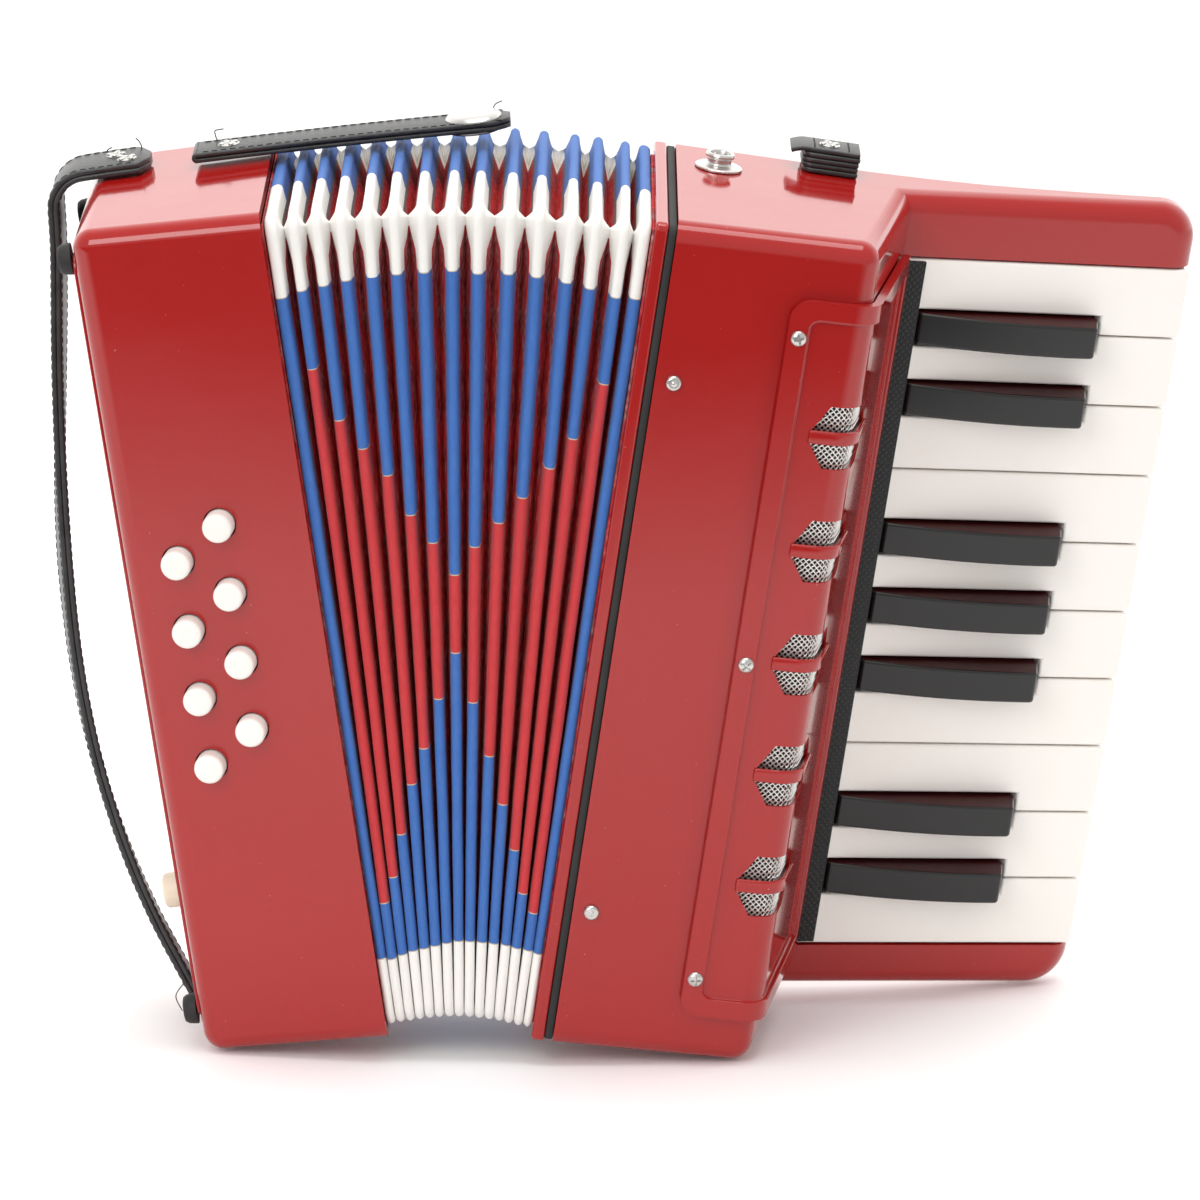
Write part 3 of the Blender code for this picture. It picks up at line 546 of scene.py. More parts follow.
def round_rect(x0, x1, y0, y1, r, n=6):
    rs = r if isinstance(r, tuple) else (r,) * 4
    out = []
    for k, (cx, cy, sx, sy, a) in enumerate(((x0, y0, 1, 1, 180), (x1, y0, -1, 1, 270), (x1, y1, -1, -1, 0), (x0, y1, 1, -1, 90))):
        out += arc(cx + sx * rs[k], cy + sy * rs[k], rs[k], a, a + 90, n) if rs[k] else [(cx, cy)]
    return out


def fillet(a, b, c, r, n):
    ax, ay = a[0] - b[0], a[1] - b[1]
    cx, cy = c[0] - b[0], c[1] - b[1]
    la, lc = hypot(ax, ay), hypot(cx, cy)
    ax, ay, cx, cy = ax / la, ay / la, cx / lc, cy / lc
    half = 0.5 * abs(atan2(ax * cy - ay * cx, ax * cx + ay * cy))
    d = r / tan(half)
    m = hypot(ax + cx, ay + cy)
    ox, oy = b[0] + (ax + cx) / m * r / sin(half), b[1] + (ay + cy) / m * r / sin(half)
    a0 = atan2(b[1] + ay * d - oy, b[0] + ax * d - ox)
    a1 = atan2(b[1] + cy * d - oy, b[0] + cx * d - ox)
    while a1 - a0 > pi:
        a1 -= 2 * pi
    while a1 - a0 < -pi:
        a1 += 2 * pi
    return [(ox + r * cos(a0 + (a1 - a0) * i / n), oy + r * sin(a0 + (a1 - a0) * i / n)) for i in range(n + 1)]


def offset_bend(a, b, c, d, r, n=12):
    def shift(p, q):
        l = hypot(q[0] - p[0], q[1] - p[1])
        nx, ny = (q[1] - p[1]) / l, -(q[0] - p[0]) / l
        return (p[0] + nx * d, p[1] + ny * d), (q[0] + nx * d, q[1] + ny * d)
    (a1, b1), (b2, c2) = shift(a, b), shift(b, c)
    dx1, dy1 = b1[0] - a1[0], b1[1] - a1[1]
    dx2, dy2 = c2[0] - b2[0], c2[1] - b2[1]
    t = ((b2[0] - a1[0]) * dy2 - (b2[1] - a1[1]) * dx2) / (dx1 * dy2 - dy1 * dx2)
    corner = (a1[0] + dx1 * t, a1[1] + dy1 * t)
    return [a1] + fillet(a1, corner, c2, r + d, n) + [c2]


def ellipsoid(at, radii, u=48, v=32):
    bm = bmesh.new()
    bmesh.ops.create_uvsphere(bm, u_segments=u, v_segments=v, radius=1)
    bmesh.ops.scale(bm, vec=mm(*radii), verts=bm.verts)
    bmesh.ops.translate(bm, vec=mm(*at), verts=bm.verts)
    mesh = bpy.data.meshes.new("ellipsoid")
    bm.to_mesh(mesh)
    bm.free()
    return mesh


def wobble(seed, scale=1.0):
    """A smooth repeatable wave of one variable, between about -1 and 1."""
    rnd = random.Random(seed)
    terms = [(rnd.uniform(0.6, 2.6) * scale, rnd.uniform(0, 2 * pi), rnd.uniform(0.4, 1)) for _ in range(4)]
    total = sum(t[2] for t in terms)
    return lambda x: sum(a * sin(f * x + p) for f, p, a in terms) / total


# ---- treble case ------------------------------------------------------------
key_t = (cos(radians(KEY_ANGLE)), sin(radians(KEY_ANGLE)))


def key_point(s, q):
    return (KEY_ORIGIN[0] + s * key_t[0] - q * key_t[1], KEY_ORIGIN[1] + s * key_t[1] + q * key_t[0])


FRONT_L, FRONT_R, STEP = (0.0, 0.0), (TREBLE_W, TREBLE_SLOPE), KEY_ORIGIN
chassis_front = key_point((CHASSIS_END - KEY_ORIGIN[0]) / key_t[0], 0)
back_curve = [(CHASSIS_END, 115.8), (131.0, 110.0), (114.0, 104.6), (100.0, 100.5), (86.0, 97.0), (70.0, 94.4), (54.0, CASE_D)]
plan = [FRONT_L] + fillet(FRONT_L, FRONT_R, STEP, CORNER_R, 14) + [STEP, chassis_front] + back_curve + [(0.0, CASE_D)]
front_view = round_rect(0, CHASSIS_END, 0, CASE_H, (0, 11.0, 11.0, 0), 14)
inner = [(-4, WALL), (50.5, WALL + 5.9), (62.0, 69.5), (62.0, CASE_D - WALL - 0.2), (-4, CASE_D - WALL)]
recess = [key_point(0.25, -40), key_point(110, -40), key_point(110, 10.5), key_point(0.25, 10.5)]
case = apply(prism(plan, 0, CASE_H), [("keep", prism(front_view, -20, 140, "XZ"))])
case = round_edges(case, outline_edge(0.0), 5.6, 9)
case = apply(case, [
    ("cut", prism(inner, WALL, CASE_H - WALL)),
    ("cut", box(8, 46, CASE_D - 8, CASE_D + 8, 10, CASE_H - 10)),
    ("cut", box(42.0, 75.0, -6, 48, 30, 206)),
    ("cut", prism(recess, KEY_TOP - 10 * KEY_PITCH - 0.4, KEY_TOP + 0.4))])
weld(case)
case.shade_smooth()
case.set_sharp_from_angle(angle=radians(32))
case = apply(case, [("weighted",)])
show("treble_shell", case, RED, TREBLE, "treble", ("treble_case",), smooth=0)

# ---- grille cover -----------------------------------------------------------
fx = GRILLE_LEFT
side = lambda t: (FRONT_R[0] + (STEP[0] - FRONT_R[0]) * t, FRONT_R[1] + (STEP[1] - FRONT_R[1]) * t)
front_at = lambda x: (x, x * TREBLE_SLOPE / TREBLE_W)
cover_path = (front_at(fx), FRONT_R, side(0.93))


def path_xy(path, d, n=14):
    return offset_bend(*path, d, CORNER_R, n)


def sheet(path, lo, hi, z0, z1, n=14):
    return prism(path_xy(path, hi, n) + path_xy(path, lo, n)[::-1], z0, z1)


# the cover is cut to a rounded outline seen from the front, then its inner panel is sunk
cover = sheet(cover_path, 0.3, 2.6, *GRILLE_Z)
front_mask = prism(round_rect(fx - 0.01, 200, *GRILLE_Z, (6.0, 0.0, 0.0, 6.0), 10), -30, 140, "XZ")
cover = apply(cover, [("keep", front_mask)])
weld(cover)
cover = apply(cover, [("bevel", 0.7, 3, 40)])
panel_path = (front_at(fx + 5.6), FRONT_R, side(0.875))
panel = sheet(panel_path, 1.25, 5.0, GRILLE_Z[0] + 5.4, GRILLE_Z[1] - 5.4)
panel = apply(panel, [("keep", prism(round_rect(fx + 5.6, 200, GRILLE_Z[0] + 5.4, GRILLE_Z[1] - 5.4, (3.0, 0.0, 0.0, 3.0), 8), -30, 140, "XZ"))])
weld(panel)
cover = weld(apply(cover, [("cut", panel)]))
cover = apply(cover, [("bevel", 0.5, 3, 60)])
for z in OPENINGS:
    cx = FRONT_R[0] + 0.4
    slanted = [(cx + a, z + b) for a, b in ((-11.3, -1.2), (-11.3, 1.2), (-6.6, 8.7), (25, 8.7), (25, -8.7), (-6.6, -8.7))]
    opening = apply(ellipsoid((cx, FRONT_R[1] + 1.2, z), (11.4, 14.0, 12.0)), [("keep", prism(slanted, -30, 60, "XZ"))])
    cover = apply(cover, [("cut", weld(opening))])
weld(cover)
bars = []
bar_path = (front_at(fx + 9.9), FRONT_R, side(0.27))
for z in OPENINGS:
    bars.append(apply(sheet(bar_path, 0.7, 2.1, z - 1.9, z + 1.9), [("bevel", 0.65, 3, 40)]))
cover.shade_smooth()
cover.set_sharp_from_angle(angle=radians(30))
cover = apply(cover, [("weighted",)])
show("grille_shell", cover, RED, TREBLE, "treble", ("grille_cover",), smooth=0)
show("grille_bars", join(bars), RED, TREBLE, "treble")

# woven wire behind the openings
wires = []
wire_path = path_xy((front_at(41.5), FRONT_R, side(0.45)), -0.1, 16)
lengths = [0.0]
for a, b in zip(wire_path, wire_path[1:]):
    lengths.append(lengths[-1] + hypot(b[0] - a[0], b[1] - a[1]))


def on_path(s):
    for i in range(len(wire_path) - 1):
        if s <= lengths[i + 1] or i == len(wire_path) - 2:
            t = (s - lengths[i]) / (lengths[i + 1] - lengths[i])
            (x0, y0), (x1, y1) = wire_path[i], wire_path[i + 1]
            l = hypot(x1 - x0, y1 - y0)
            return x0 + (x1 - x0) * t, y0 + (y1 - y0) * t, (y1 - y0) / l, -(x1 - x0) / l


W_PITCH, W_R = 1.6, 0.2


def woven(z_mid, half, sign):
    """One set of slanted wires over an opening, passing over and under the other set."""
    found, span = [], lengths[-1]
    for i in range(int(-half / W_PITCH) - 1, int((span + half) / W_PITCH) + 2):
        pts = []
        for j in range(2 * int(-half / W_PITCH) - 2, 2 * int((span + half) / W_PITCH) + 4):
            s, dz = (i + j / 2) * W_PITCH / 2, sign * (i - j / 2) * W_PITCH / 2
            if abs(dz) <= half and 0 <= s <= span:
                x, y, nx, ny = on_path(s)
                off = 0.17 * sign * cos(pi * (i + j / 2))
                pts.append((x + nx * off, y + ny * off, z_mid + dz))
        if len(pts) > 1:
            found.append(tube(pts, W_R, 4, False))
    return found


for z in OPENINGS:
    wires += woven(z, 10.0, 1) + woven(z, 10.0, -1)
show("wire_mesh_weave", join(wires), WIRE, TREBLE, "treble", ("grille_mesh",), smooth=60)
# a painted shade sheet behind the wire, where the inside of the case lies in shade
show("grille_painted_shade_sheet", sheet((front_at(41.0), FRONT_R, side(0.6)), -2.2, -1.6, 31, 205), CASE_INSIDE_SHADE, TREBLE, "treble")


def cross_screw(name, at, body, matrix, node, turn):
    profile = [(0, 1.1), (0.8, 1.07), (1.35, 0.95), (1.85, 0.62), (2.15, 0.2), (2.2, 0.0), (2.2, -0.5), (0, -0.5)]
    m = turned(profile, 36)
    rot = Matrix.Rotation(turn, 4, "Z")
    for a, b in ((0.3, 1.4), (1.4, 0.3)):
        c = box(-b, b, -a, a, 0.35, 3)
        c.transform(rot)
        m = apply(m, [("cut", apply(c, [("bevel", 0.1, 1, 40)]))])
    m = weld(m)
    m = apply(m, [("bevel", 0.05, 1, 50)])
    m.transform(Matrix.Translation(mm(*at)) @ Matrix.Rotation(pi / 2, 4, "X"))
    show(name, m, CHROME, matrix, body, (node,), 28)


for name, z, turn in zip(("top", "middle", "bottom"), SCREW_Z, (0.35, 0.9, 0.15)):
    cross_screw("screw_head_" + name, (36.0, -2.7, z), "treble", T_FACE, "grille_screw_" + name, turn)
for name, z in zip(("top", "bottom"), PIN_Z):
    m = turned([(0, 1.35), (0.5, 1.3), (0.75, 1.02), (0.95, 1.0), (1.35, 1.12), (1.75, 0.92), (2.1, 0.5), (2.2, 0.0), (2.2, -0.4), (0, -0.4)], 32)
    m.transform(Matrix.Translation(mm(5.1, -0.25, z)) @ Matrix.Rotation(pi / 2, 4, "X"))
    show("pin_head_" + name, m, CHROME, T_FACE, "treble", ("bellows_pin_" + name,), 50)

# ---- bellows ends: gasket and red frame -------------------------------------
ring_in = round_rect(11, CASE_D - 12, 11, CASE_H - 11, 3.0, 4)
m = apply(prism([round_rect(1.1, CASE_D - 1.1, 1.2, CASE_H - 1.2, 2.4, 6), ring_in], -2.3, -0.1, "YZ"), [("bevel", 0.35, 2, 40)])
show("gasket_strip", m, GASKET, TREBLE, "treble", ("bellows_gasket",))
m = apply(prism([round_rect(0.5, CASE_D - 0.5, 0.6, CASE_H - 0.6, 2.4, 8), ring_in], RIM_IN + 0.05, RIM_OUT, "YZ"), [("bevel", 0.8, 3, 40)])
m.shade_smooth()
m.set_sharp_from_angle(angle=radians(35))
show("bellows_rim", apply(m, [("weighted",)]), RED, TREBLE, "treble", ("treble_bellows_frame",), smooth=0)

# ---- keyboard ---------------------------------------------------------------
HALF_NOTCH, BLACK_SHIFT = BLACK_W / 2 + 0.75, 0.4
for k in range(10):
    top, bottom = KEY_TOP - KEY_PITCH * k - KEY_GAP / 2, KEY_TOP - KEY_PITCH * (k + 1) + KEY_GAP / 2
    n1 = (KEY_TOP - KEY_PITCH * k + BLACK_SHIFT - HALF_NOTCH) if k in BLACK_AT else top
    n0 = (KEY_TOP - KEY_PITCH * (k + 1) + BLACK_SHIFT + HALF_NOTCH) if (k + 1) in BLACK_AT else bottom
    s0, s1 = AXLE_S - 2.2, BLACK_END + 1.0
    r = 1.2
    outline = [(s0, n0)] + ([(s1, n0), (s1, bottom)] if n0 != bottom else []) \
        + arc(KEY_END - r, bottom + r, r, -90, 0, 5) + arc(KEY_END - r, top - r, r, 0, 90, 5) \
        + ([(s1, top), (s1, n1)] if n1 != top else []) + [(s0, n1)]
    m = apply(prism(outline, 0.0, 5.0, "XZ"), [("bevel", 0.75, 4, 30)])
    m.shade_smooth()
    m.set_sharp_from_angle(angle=radians(35))
    m = apply(m, [("weighted",)])
    name = "white_key_%02d" % (k + 1)
    show("white_top_%02d" % (k + 1), m, WHITE, KEYS, name, (name,), smooth=0)

for i, k in enumerate(BLACK_AT):
    z = KEY_TOP - KEY_PITCH * k + BLACK_SHIFT
    z0, z1 = z - BLACK_W / 2, z + BLACK_W / 2
    s0 = AXLE_S - 2.2
    rise = [(7.6 + 48.8 * u / 16, -1.4 - (BLACK_TALL - 1.4) * (1 - (1 - 0.978 * u / 16) ** 2.15)) for u in range(17)]
    profile = [(s0, 0.4), (7.6, 0.4)] + rise + \
        [(x, y) for x, y in arc(57.2, -BLACK_TALL + 1.7, 1.7, -80, -16, 5)] + [(BLACK_END - 0.6, -1.6), (BLACK_END, -0.6), (BLACK_END, 4.6), (s0, 4.6)]
    m = apply(prism(profile, z0, z1), [("bevel", 0.85, 4, 34)])
    m.shade_smooth()
    m.set_sharp_from_angle(angle=radians(35))
    m = apply(m, [("weighted",)])
    name = "black_key_%02d" % (i + 1)
    # the upward side face of each black key takes the painted dark red reflection of the key bed
    upper = [p.index for p in m.polygons if p.normal.z > 0.9]
    top = show("black_top_%02d" % (i + 1), m, [BLACK, BLACK_SIDE_RED_REFLECTION], KEYS, name, (name,), smooth=0)
    for n in upper:
        top.data.polygons[n].material_index = 1

m = apply(prism(((0.45, -1.5), (6.8, -1.5), (6.8, -0.35), (0.45, -0.35)), 14.6, 216.2), [("bevel", 0.25, 2, 40)])
show("dimpled_band", m, STRIP, KEYS, "treble", ("key_felt_strip",))

# ---- bass case --------------------------------------------------------------
bass_plan = [(B0, 0), (B0, CASE_D), (B1, CASE_D), (B1, BASS_SLOPE)]
m = apply(prism(bass_plan, 0, CASE_H), [("keep", prism(round_rect(B1, B0, 0, CASE_H, (5.3, 0, 0, 5.3), 12), -20, 140, "XZ"))])
m = round_edges(m, outline_edge(B0), 4.9, 9)
bass_inner = [(B0 + 4, WALL), (B0 + 4, CASE_D - WALL), (B1 + WALL, CASE_D - WALL), (B1 + WALL, BASS_SLOPE + WALL)]
m = apply(m, [("cut", prism(bass_inner, WALL, CASE_H - WALL)), ("cut", box(B1 - 5, B1 + 8, 18, 82, 14, CASE_H - 14))])
places = []
to_bass = BASS.inverted() @ B_FACE
for along, z_top in BUTTON_COLUMNS:
    for i in range(4):
        z = z_top - BUTTON_STEP * i
        places.append((-along, z))
        hole = cylinder(BUTTON_R + 0.45, (-along, -8, z), (-along, 8, z), 40)
        hole.transform(to_bass)
        m = apply(m, [("cut", hole)])
weld(m)
m.shade_smooth()
m.set_sharp_from_angle(angle=radians(32))
m = apply(m, [("weighted",)])
show("bass_shell", m, RED, BASS, "bass", ("bass_case",), smooth=0)
for n, (x, z) in enumerate(places, 1):
    m = turned([(0, 4.75), (2.2, 4.72), (3.2, 4.62), (3.75, 4.35), (4.02, 3.9), (4.1, 3.3), (4.1, -5.0), (0, -5.0)], 40)
    m.transform(Matrix.Translation(mm(x, 0, z)) @ Matrix.Rotation(pi / 2, 4, "X"))
    show("button_cap_%d" % n, m, BUTTON, B_FACE, "bass_button_%d" % n, ("bass_button_%d" % n,), 40)
m = turned([(0, 6.1), (3.4, 6.0), (4.5, 5.5), (4.9, 4.6), (4.9, -8.0), (0, -8.0)], 40)
m.transform(Matrix.Translation(mm(B1, 24.0, 43.0)) @ Matrix.Rotation(-pi / 2, 4, "Y"))
show("air_button_cap", m, CREAM, BASS, "air_button", ("air_button",), 40)
for i, (y, z) in enumerate(((19.0, 225.5), (19.0, 9.5), (CASE_D - 12, CASE_H - 13.0), (CASE_D - 12, 13.0)), 1):
    m = turned([(0, 4.3), (1.2, 4.3), (1.5, 3.9), (2.6, 4.7), (3.4, 4.5), (4.0, 3.6), (4.3, 1.6), (4.3, 1.0), (0, 1.0)], 32)
    m.transform(Matrix.Translation(mm(B1 - 0.6, y, z)) @ Matrix.Rotation(-pi / 2, 4, "Y"))
    show("rubber_foot_%d" % i, m, RUBBER, BASS, "bass", (), 45)

# ---- bellows ----------------------------------------------------------------
# Every point is placed with the bellows shut, then swung about the fan axis by its own share of the angle.
FAN_FRAME = [TREBLE @ about_fan(0)]


def ridge_x(k):
    return -6.0 - (FOLDS + 0.5 - k) * PITCH_F


def fan_point(k, f, y, z):
    """A point f pitches to the right of ridge k, in the treble frame, with its share of the fan angle."""
    x = ridge_x(k) + f * PITCH_F
    if f >= 0:
        right = FAN_SHARE[k] if k < FOLDS else 0.0
        share = FAN_SHARE[k - 1] + f * (right - FAN_SHARE[k - 1])
    else:
        left = FAN_SHARE[k - 2] if k > 1 else 1.0
        share = FAN_SHARE[k - 1] - f * (left - FAN_SHARE[k - 1])
    a = radians(FAN_REST * share)
    dx, dz = x - FAN_AXIS[0], z - FAN_AXIS[1]
    return (dx * cos(a) - dz * sin(a) + FAN_AXIS[0], y, dx * sin(a) + dz * cos(a) + FAN_AXIS[1]), share


def half_gap(k, sign, z):
    """Half the open distance from ridge k to its neighbour at this height, in mm."""
    a, _ = fan_point(k, 0, 0, z)
    if (sign > 0 and k == FOLDS) or (sign < 0 and k == 1):
        return PITCH_F / 2
    b, _ = fan_point(k + sign, 0, 0, z)
    return hypot(b[0] - a[0], b[2] - a[2]) / 2


# once round a fold: (y, z, outward y, outward z, distance to the nearest corner, side, place along the side)
def fold_loop():
    y0, y1, z0, z1, r = FOLD_Y[0], FOLD_Y[1], FOLD_Z[0], FOLD_Z[1], 4.2
    out = []

    def line(n, a, b, normal, side, size):
        for i in range(n):
            t = i / n
            y, z = a[0] + (b[0] - a[0]) * t, a[1] + (b[1] - a[1]) * t
            out.append([y, z, normal[0], normal[1], min(t, 1 - t) * size, side])

    def corner(cy, cz, a0, a1, side):
        for i in range(5):
            a = radians(a0 + (a1 - a0) * i / 5)
            out.append([cy + r * cos(a), cz + r * sin(a), cos(a), sin(a), 0.0, side])
    line(74, (y0, z0 + r), (y0, z1 - r), (-1, 0), "front", z1 - z0)
    corner(y0 + r, z1 - r, 180, 90, "c1")
    line(30, (y0 + r, z1), (y1 - r, z1), (0, 1), "top", y1 - y0)
    corner(y1 - r, z1 - r, 90, 0, "c2")
    line(50, (y1, z1 - r), (y1, z0 + r), (1, 0), "back", z1 - z0)
    corner(y1 - r, z0 + r, 0, -90, "c3")
    line(22, (y1 - r, z0), (y0 + r, z0), (0, -1), "under", y1 - y0)
    corner(y0 + r, z0 + r, -90, -180, "c4")
    return out


LOOP = fold_loop()
# heights on the front where each ridge's tape changes colour
WHITE_TOP = (211.5, 212.6, 213.2, 213.9, 214.2, 214.6, 214.8, 215.2, 214.6, 214.8, 214.6, 214.0, 213.3, 212.0, 212.6)
WHITE_BOTTOM = (23.2, 22.6, 23.4, 24.0, 24.4, 24.9, 25.6, 26.2, 26.2, 26.2, 26.2, 26.3, 26.0, 26.0, 25.6)
RED_TOP = (None, 191.0, 176.0, 167.5, 159.5, 148.0, 140.0, 131.0, 139.0, 146.0, 153.6, 162.7, 171.6, 188.0, None)
RED_BOTTOM = (None, 39.0, 46.0, 58.0, 72.0, 82.0, 96.0, 109.0, 95.0, 80.0, 66.6, 54.0, 42.0, 37.0, None)
WHITE_ON_TOP = 38.0
DEEP = 11.5
B_MAT, R_MAT, W_MAT, F_MAT, P_MAT, G_MAT, C_MAT = range(7)


def band_of(k, side, y, z):
    if side in ("front", "back"):
        if z > WHITE_TOP[k - 1] or z < WHITE_BOTTOM[k - 1]:
            return W_MAT
        if RED_TOP[k - 1] and RED_BOTTOM[k - 1] < z < RED_TOP[k - 1]:
            return R_MAT
        return B_MAT
    if side in ("top", "under"):
        return W_MAT if y < (WHITE_ON_TOP if side == "top" else 22.0) or y > FOLD_Y[1] - 20.0 and side == "under" else B_MAT
    return W_MAT if side in ("c1", "c4", "c3") else B_MAT


def stations(k):
    """The loop with extra stations where ridge k changes colour, a thin frayed line between two colours."""
    cuts = {}
    for side in ("front", "back"):
        zs = [WHITE_TOP[k - 1], WHITE_BOTTOM[k - 1]] + ([RED_TOP[k - 1], RED_BOTTOM[k - 1]] if RED_TOP[k - 1] else [])
        cuts[side] = zs
    out = []
    n = len(LOOP)
    for i, st in enumerate(LOOP):
        nxt = LOOP[(i + 1) % n]
        out.append(list(st))
        here = []
        if st[5] in cuts:
            here = [("z", c) for c in cuts[st[5]] if min(st[1], nxt[1]) < c < max(st[1], nxt[1])]
        elif st[5] == "top":
            here = [("y", c) for c in (WHITE_ON_TOP,) if min(st[0], nxt[0]) < c < max(st[0], nxt[0])]
        elif st[5] == "under":
            here = [("y", c) for c in (22.0, FOLD_Y[1] - 20.0) if min(st[0], nxt[0]) < c < max(st[0], nxt[0])]
        for axis, c in here:
            d = 0.14
            span = (nxt[1] - st[1]) if axis == "z" else (nxt[0] - st[0])
            for off in (-d, d) if span > 0 else (d, -d):
                t = ((c + off) - (st[1] if axis == "z" else st[0])) / span
                if not 0.002 < t < 0.998:
                    continue
                p = [st[q] + (nxt[q] - st[q]) * t for q in range(5)] + [st[5]]
                out.append(p)
    return out


def valley_depth(st):
    """Deep along the sides, shallow at the front corners, where the gussets meet, and half open at the back ones."""
    y, z, side = st[0], st[1], st[5]
    front = {"c1": 0.0, "c4": 0.0, "front": st[4], "c2": 90.0, "c3": 90.0, "back": 90.0}.get(side, y - FOLD_Y[0] - 4.2)
    rear = {"c2": 0.0, "c3": 0.0, "back": st[4], "c1": 90.0, "c4": 90.0, "front": 90.0}.get(side, FOLD_Y[1] - 4.2 - y)
    t1 = max(0.0, min(1.0, (front + 0.6) / (13.0 if side in ("front", "c1", "c4") else 11.0))) ** 0.8
    t2 = max(0.0, min(1.0, rear / 16.0))
    return min(3.1 + (DEEP - 3.1) * t1, 8.0 + (DEEP - 8.0) * t2)


WEB = 8.5


def web_share(st):
    """1 at a front corner, falling to 0 at WEB mm down the front: how far the white web reaches into the pleat."""
    return max(0.0, 1.0 - st[4] / WEB) if st[5] == "front" else 1.0 if st[5] in ("c1", "c4") else 0.0


TAPE_DEEP = 5.2
skins = []
for k in range(1, FOLDS + 1):
    sts = stations(k)
    w1, w2, w3, w4 = wobble(100 + k, 0.045), wobble(200 + k, 0.05), wobble(300 + k, 0.11), wobble(400 + k, 0.3)
    rows, weights, locs, mats = [], [], [], []
    N_TIP, N_SKIN, N_REST = 5, 5, 4
    s_along = 0.0
    prev = None
    for st in sts:
        y, z, ny, nz, dist, side = st
        if prev is not None:
            s_along += hypot(y - prev[0], z - prev[1])
        prev = (y, z)
        row, wrow, lrow = [], [], []
        D = valley_depth(st)
        sway = 0.26 * w1(s_along) + 0.10 * w3(s_along)
        if side == "front" and z < 30:
            sway += 0.22 * w4(z) * (1 - z / 30)
        sink = 0.25 * w2(s_along) - 0.1
        tips = []
        for sign in (-1, 1):
            h = half_gap(k, sign, z)
            if (k == 1 and sign < 0) or (k == FOLDS and sign > 0):
                h = 1.35
            r = min(1.34, h * 0.93) * (1 + 0.07 * w3(s_along + 40 * sign))
            pts = []
            for j in range(1, N_TIP + 1):
                a = pi / 2 * j / N_TIP
                pts.append((r * sin(a), r * (1 - cos(a))))
            edge = min(4.85 + 0.12 * w2(s_along) + DEEP * 0.8 * web_share(st) ** 1.3, r + (D - r) * 0.93)
            for j in range(1, N_SKIN + N_REST + 1):
                d = r + (edge - r) * j / N_SKIN if j <= N_SKIN else edge + (D - edge) * (j - N_SKIN) / N_REST
                t = (d - r) / (D - r)
                x = r + (h - r) * (t ** 1.15) if h > r else r * 0.98 + (h - r * 0.98) * t
                pts.append((x, d))
            tips.append((sign, h, pts))
        line = [(tips[0][0] * x / (2 * tips[0][1]), d) for x, d in reversed(tips[0][2])] + [(0.0, 0.0)] \
            + [(x / (2 * tips[1][1]), d) for x, d in tips[1][2]]
        for f, d in line:
            keep = 1 - abs(f) * 2
            ff = f + sway * keep * 0.5 / max(half_gap(k, 1 if f > 0 else -1, z), 0.8) * 0.5
            ff = max(-0.5, min(0.5, ff))
            dd = d + sink * keep
            p, share = fan_point(k, ff, y - ny * dd, z - nz * dd)
            row.append(p)
            wrow.append(share)
            lrow.append((f * 6.0 + d * (1 if f > 0 else -1), y if side in ("top", "under") else y * 0.2, s_along))
        rows.append(row)
        weights += wrow
        locs += lrow
    depth_of = [d for _, d in line]
    n_cols = len(rows[0])
    mid = n_cols // 2
    # material of each quad: the tape near the crest, the pleat cloth below it
    row_mat = []
    for i in range(len(sts)):
        a, b = sts[i], sts[(i + 1) % len(sts)]
        ym, zm = (a[0] + b[0]) / 2, (a[1] + b[1]) / 2
        length = hypot(a[0] - b[0], a[1] - b[1])
        m_here = band_of(k, a[5], ym, zm)
        row_mat.append(F_MAT if 0.2 < length < 0.33 and band_of(k, a[5], a[0] + (a[0] - ym), a[1] + (a[1] - zm)) != band_of(k, a[5], b[0] + (b[0] - ym), b[1] + (b[1] - zm)) else m_here)
    d_rows = [valley_depth(s) for s in sts]

    def pick(i, j):
        c = abs((j + 0.5) - mid)         # columns from the crest
        if c < N_TIP:
            return row_mat[i]
        if c < N_TIP + N_SKIN or d_rows[i] < 5.3 or web_share(sts[i]) > 0.45:
            return row_mat[i]
        side = sts[i][5]
        if side in ("c2", "c3") or side in ("top", "under") and sts[i][0] > FOLD_Y[1] - 13 or side == "back" and sts[i][4] < 8:
            return C_MAT
        return G_MAT if side in ("top", "under") and c < N_TIP + N_SKIN + 1 else P_MAT
    mesh = grid_mesh("fold", rows, closed_rows=True, mat_of=pick)
    put = mesh.attributes.new("loc", "FLOAT_VECTOR", "POINT")
    put.data.foreach_set("vector", [c for p in locs for c in p])
    mesh.transform(TREBLE)
    for m_ in (BLUE_T, RED_T, WHITE_T, FRAY, PLEAT, GREY_T, GUSSET):
        mesh.materials.append(m_)
    mesh.shade_smooth()
    o = bpy.data.objects.new("bellows_ridge_%02d" % k, mesh)
    bpy.context.scene.collection.objects.link(o)
    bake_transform(o)
    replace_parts(o, "bass_bellows_frame" if k == 1 else "bellows_fold_%02d" % k) if k < FOLDS else None
    SHOWN.append(o)

# card frame that closes each end of the bellows against its case
for name, matrix, body, x0, x1 in (("bellows_end_bass", BASS, "bass", B0 + 0.05, B0 + 0.5), ("bellows_end_treble", TREBLE, "treble", -6.5, -5.9)):
    m = prism([round_rect(3.2, CASE_D - 4.2, 4.4, CASE_H - 3.4, 3.0, 4), ring_in], x0, x1, "YZ")
    show(name, m, PLEAT, matrix, body)
m = prism([round_rect(3.6, CASE_D - 3.6, 4.2, CASE_H - 4.2, 2.4, 6), round_rect(8, CASE_D - 8, 8, CASE_H - 8, 3.0, 4)], B0 - 0.3, B0 + 0.06, "YZ")
show("bass_rim_seal", m, GASKET, BASS, "bass")

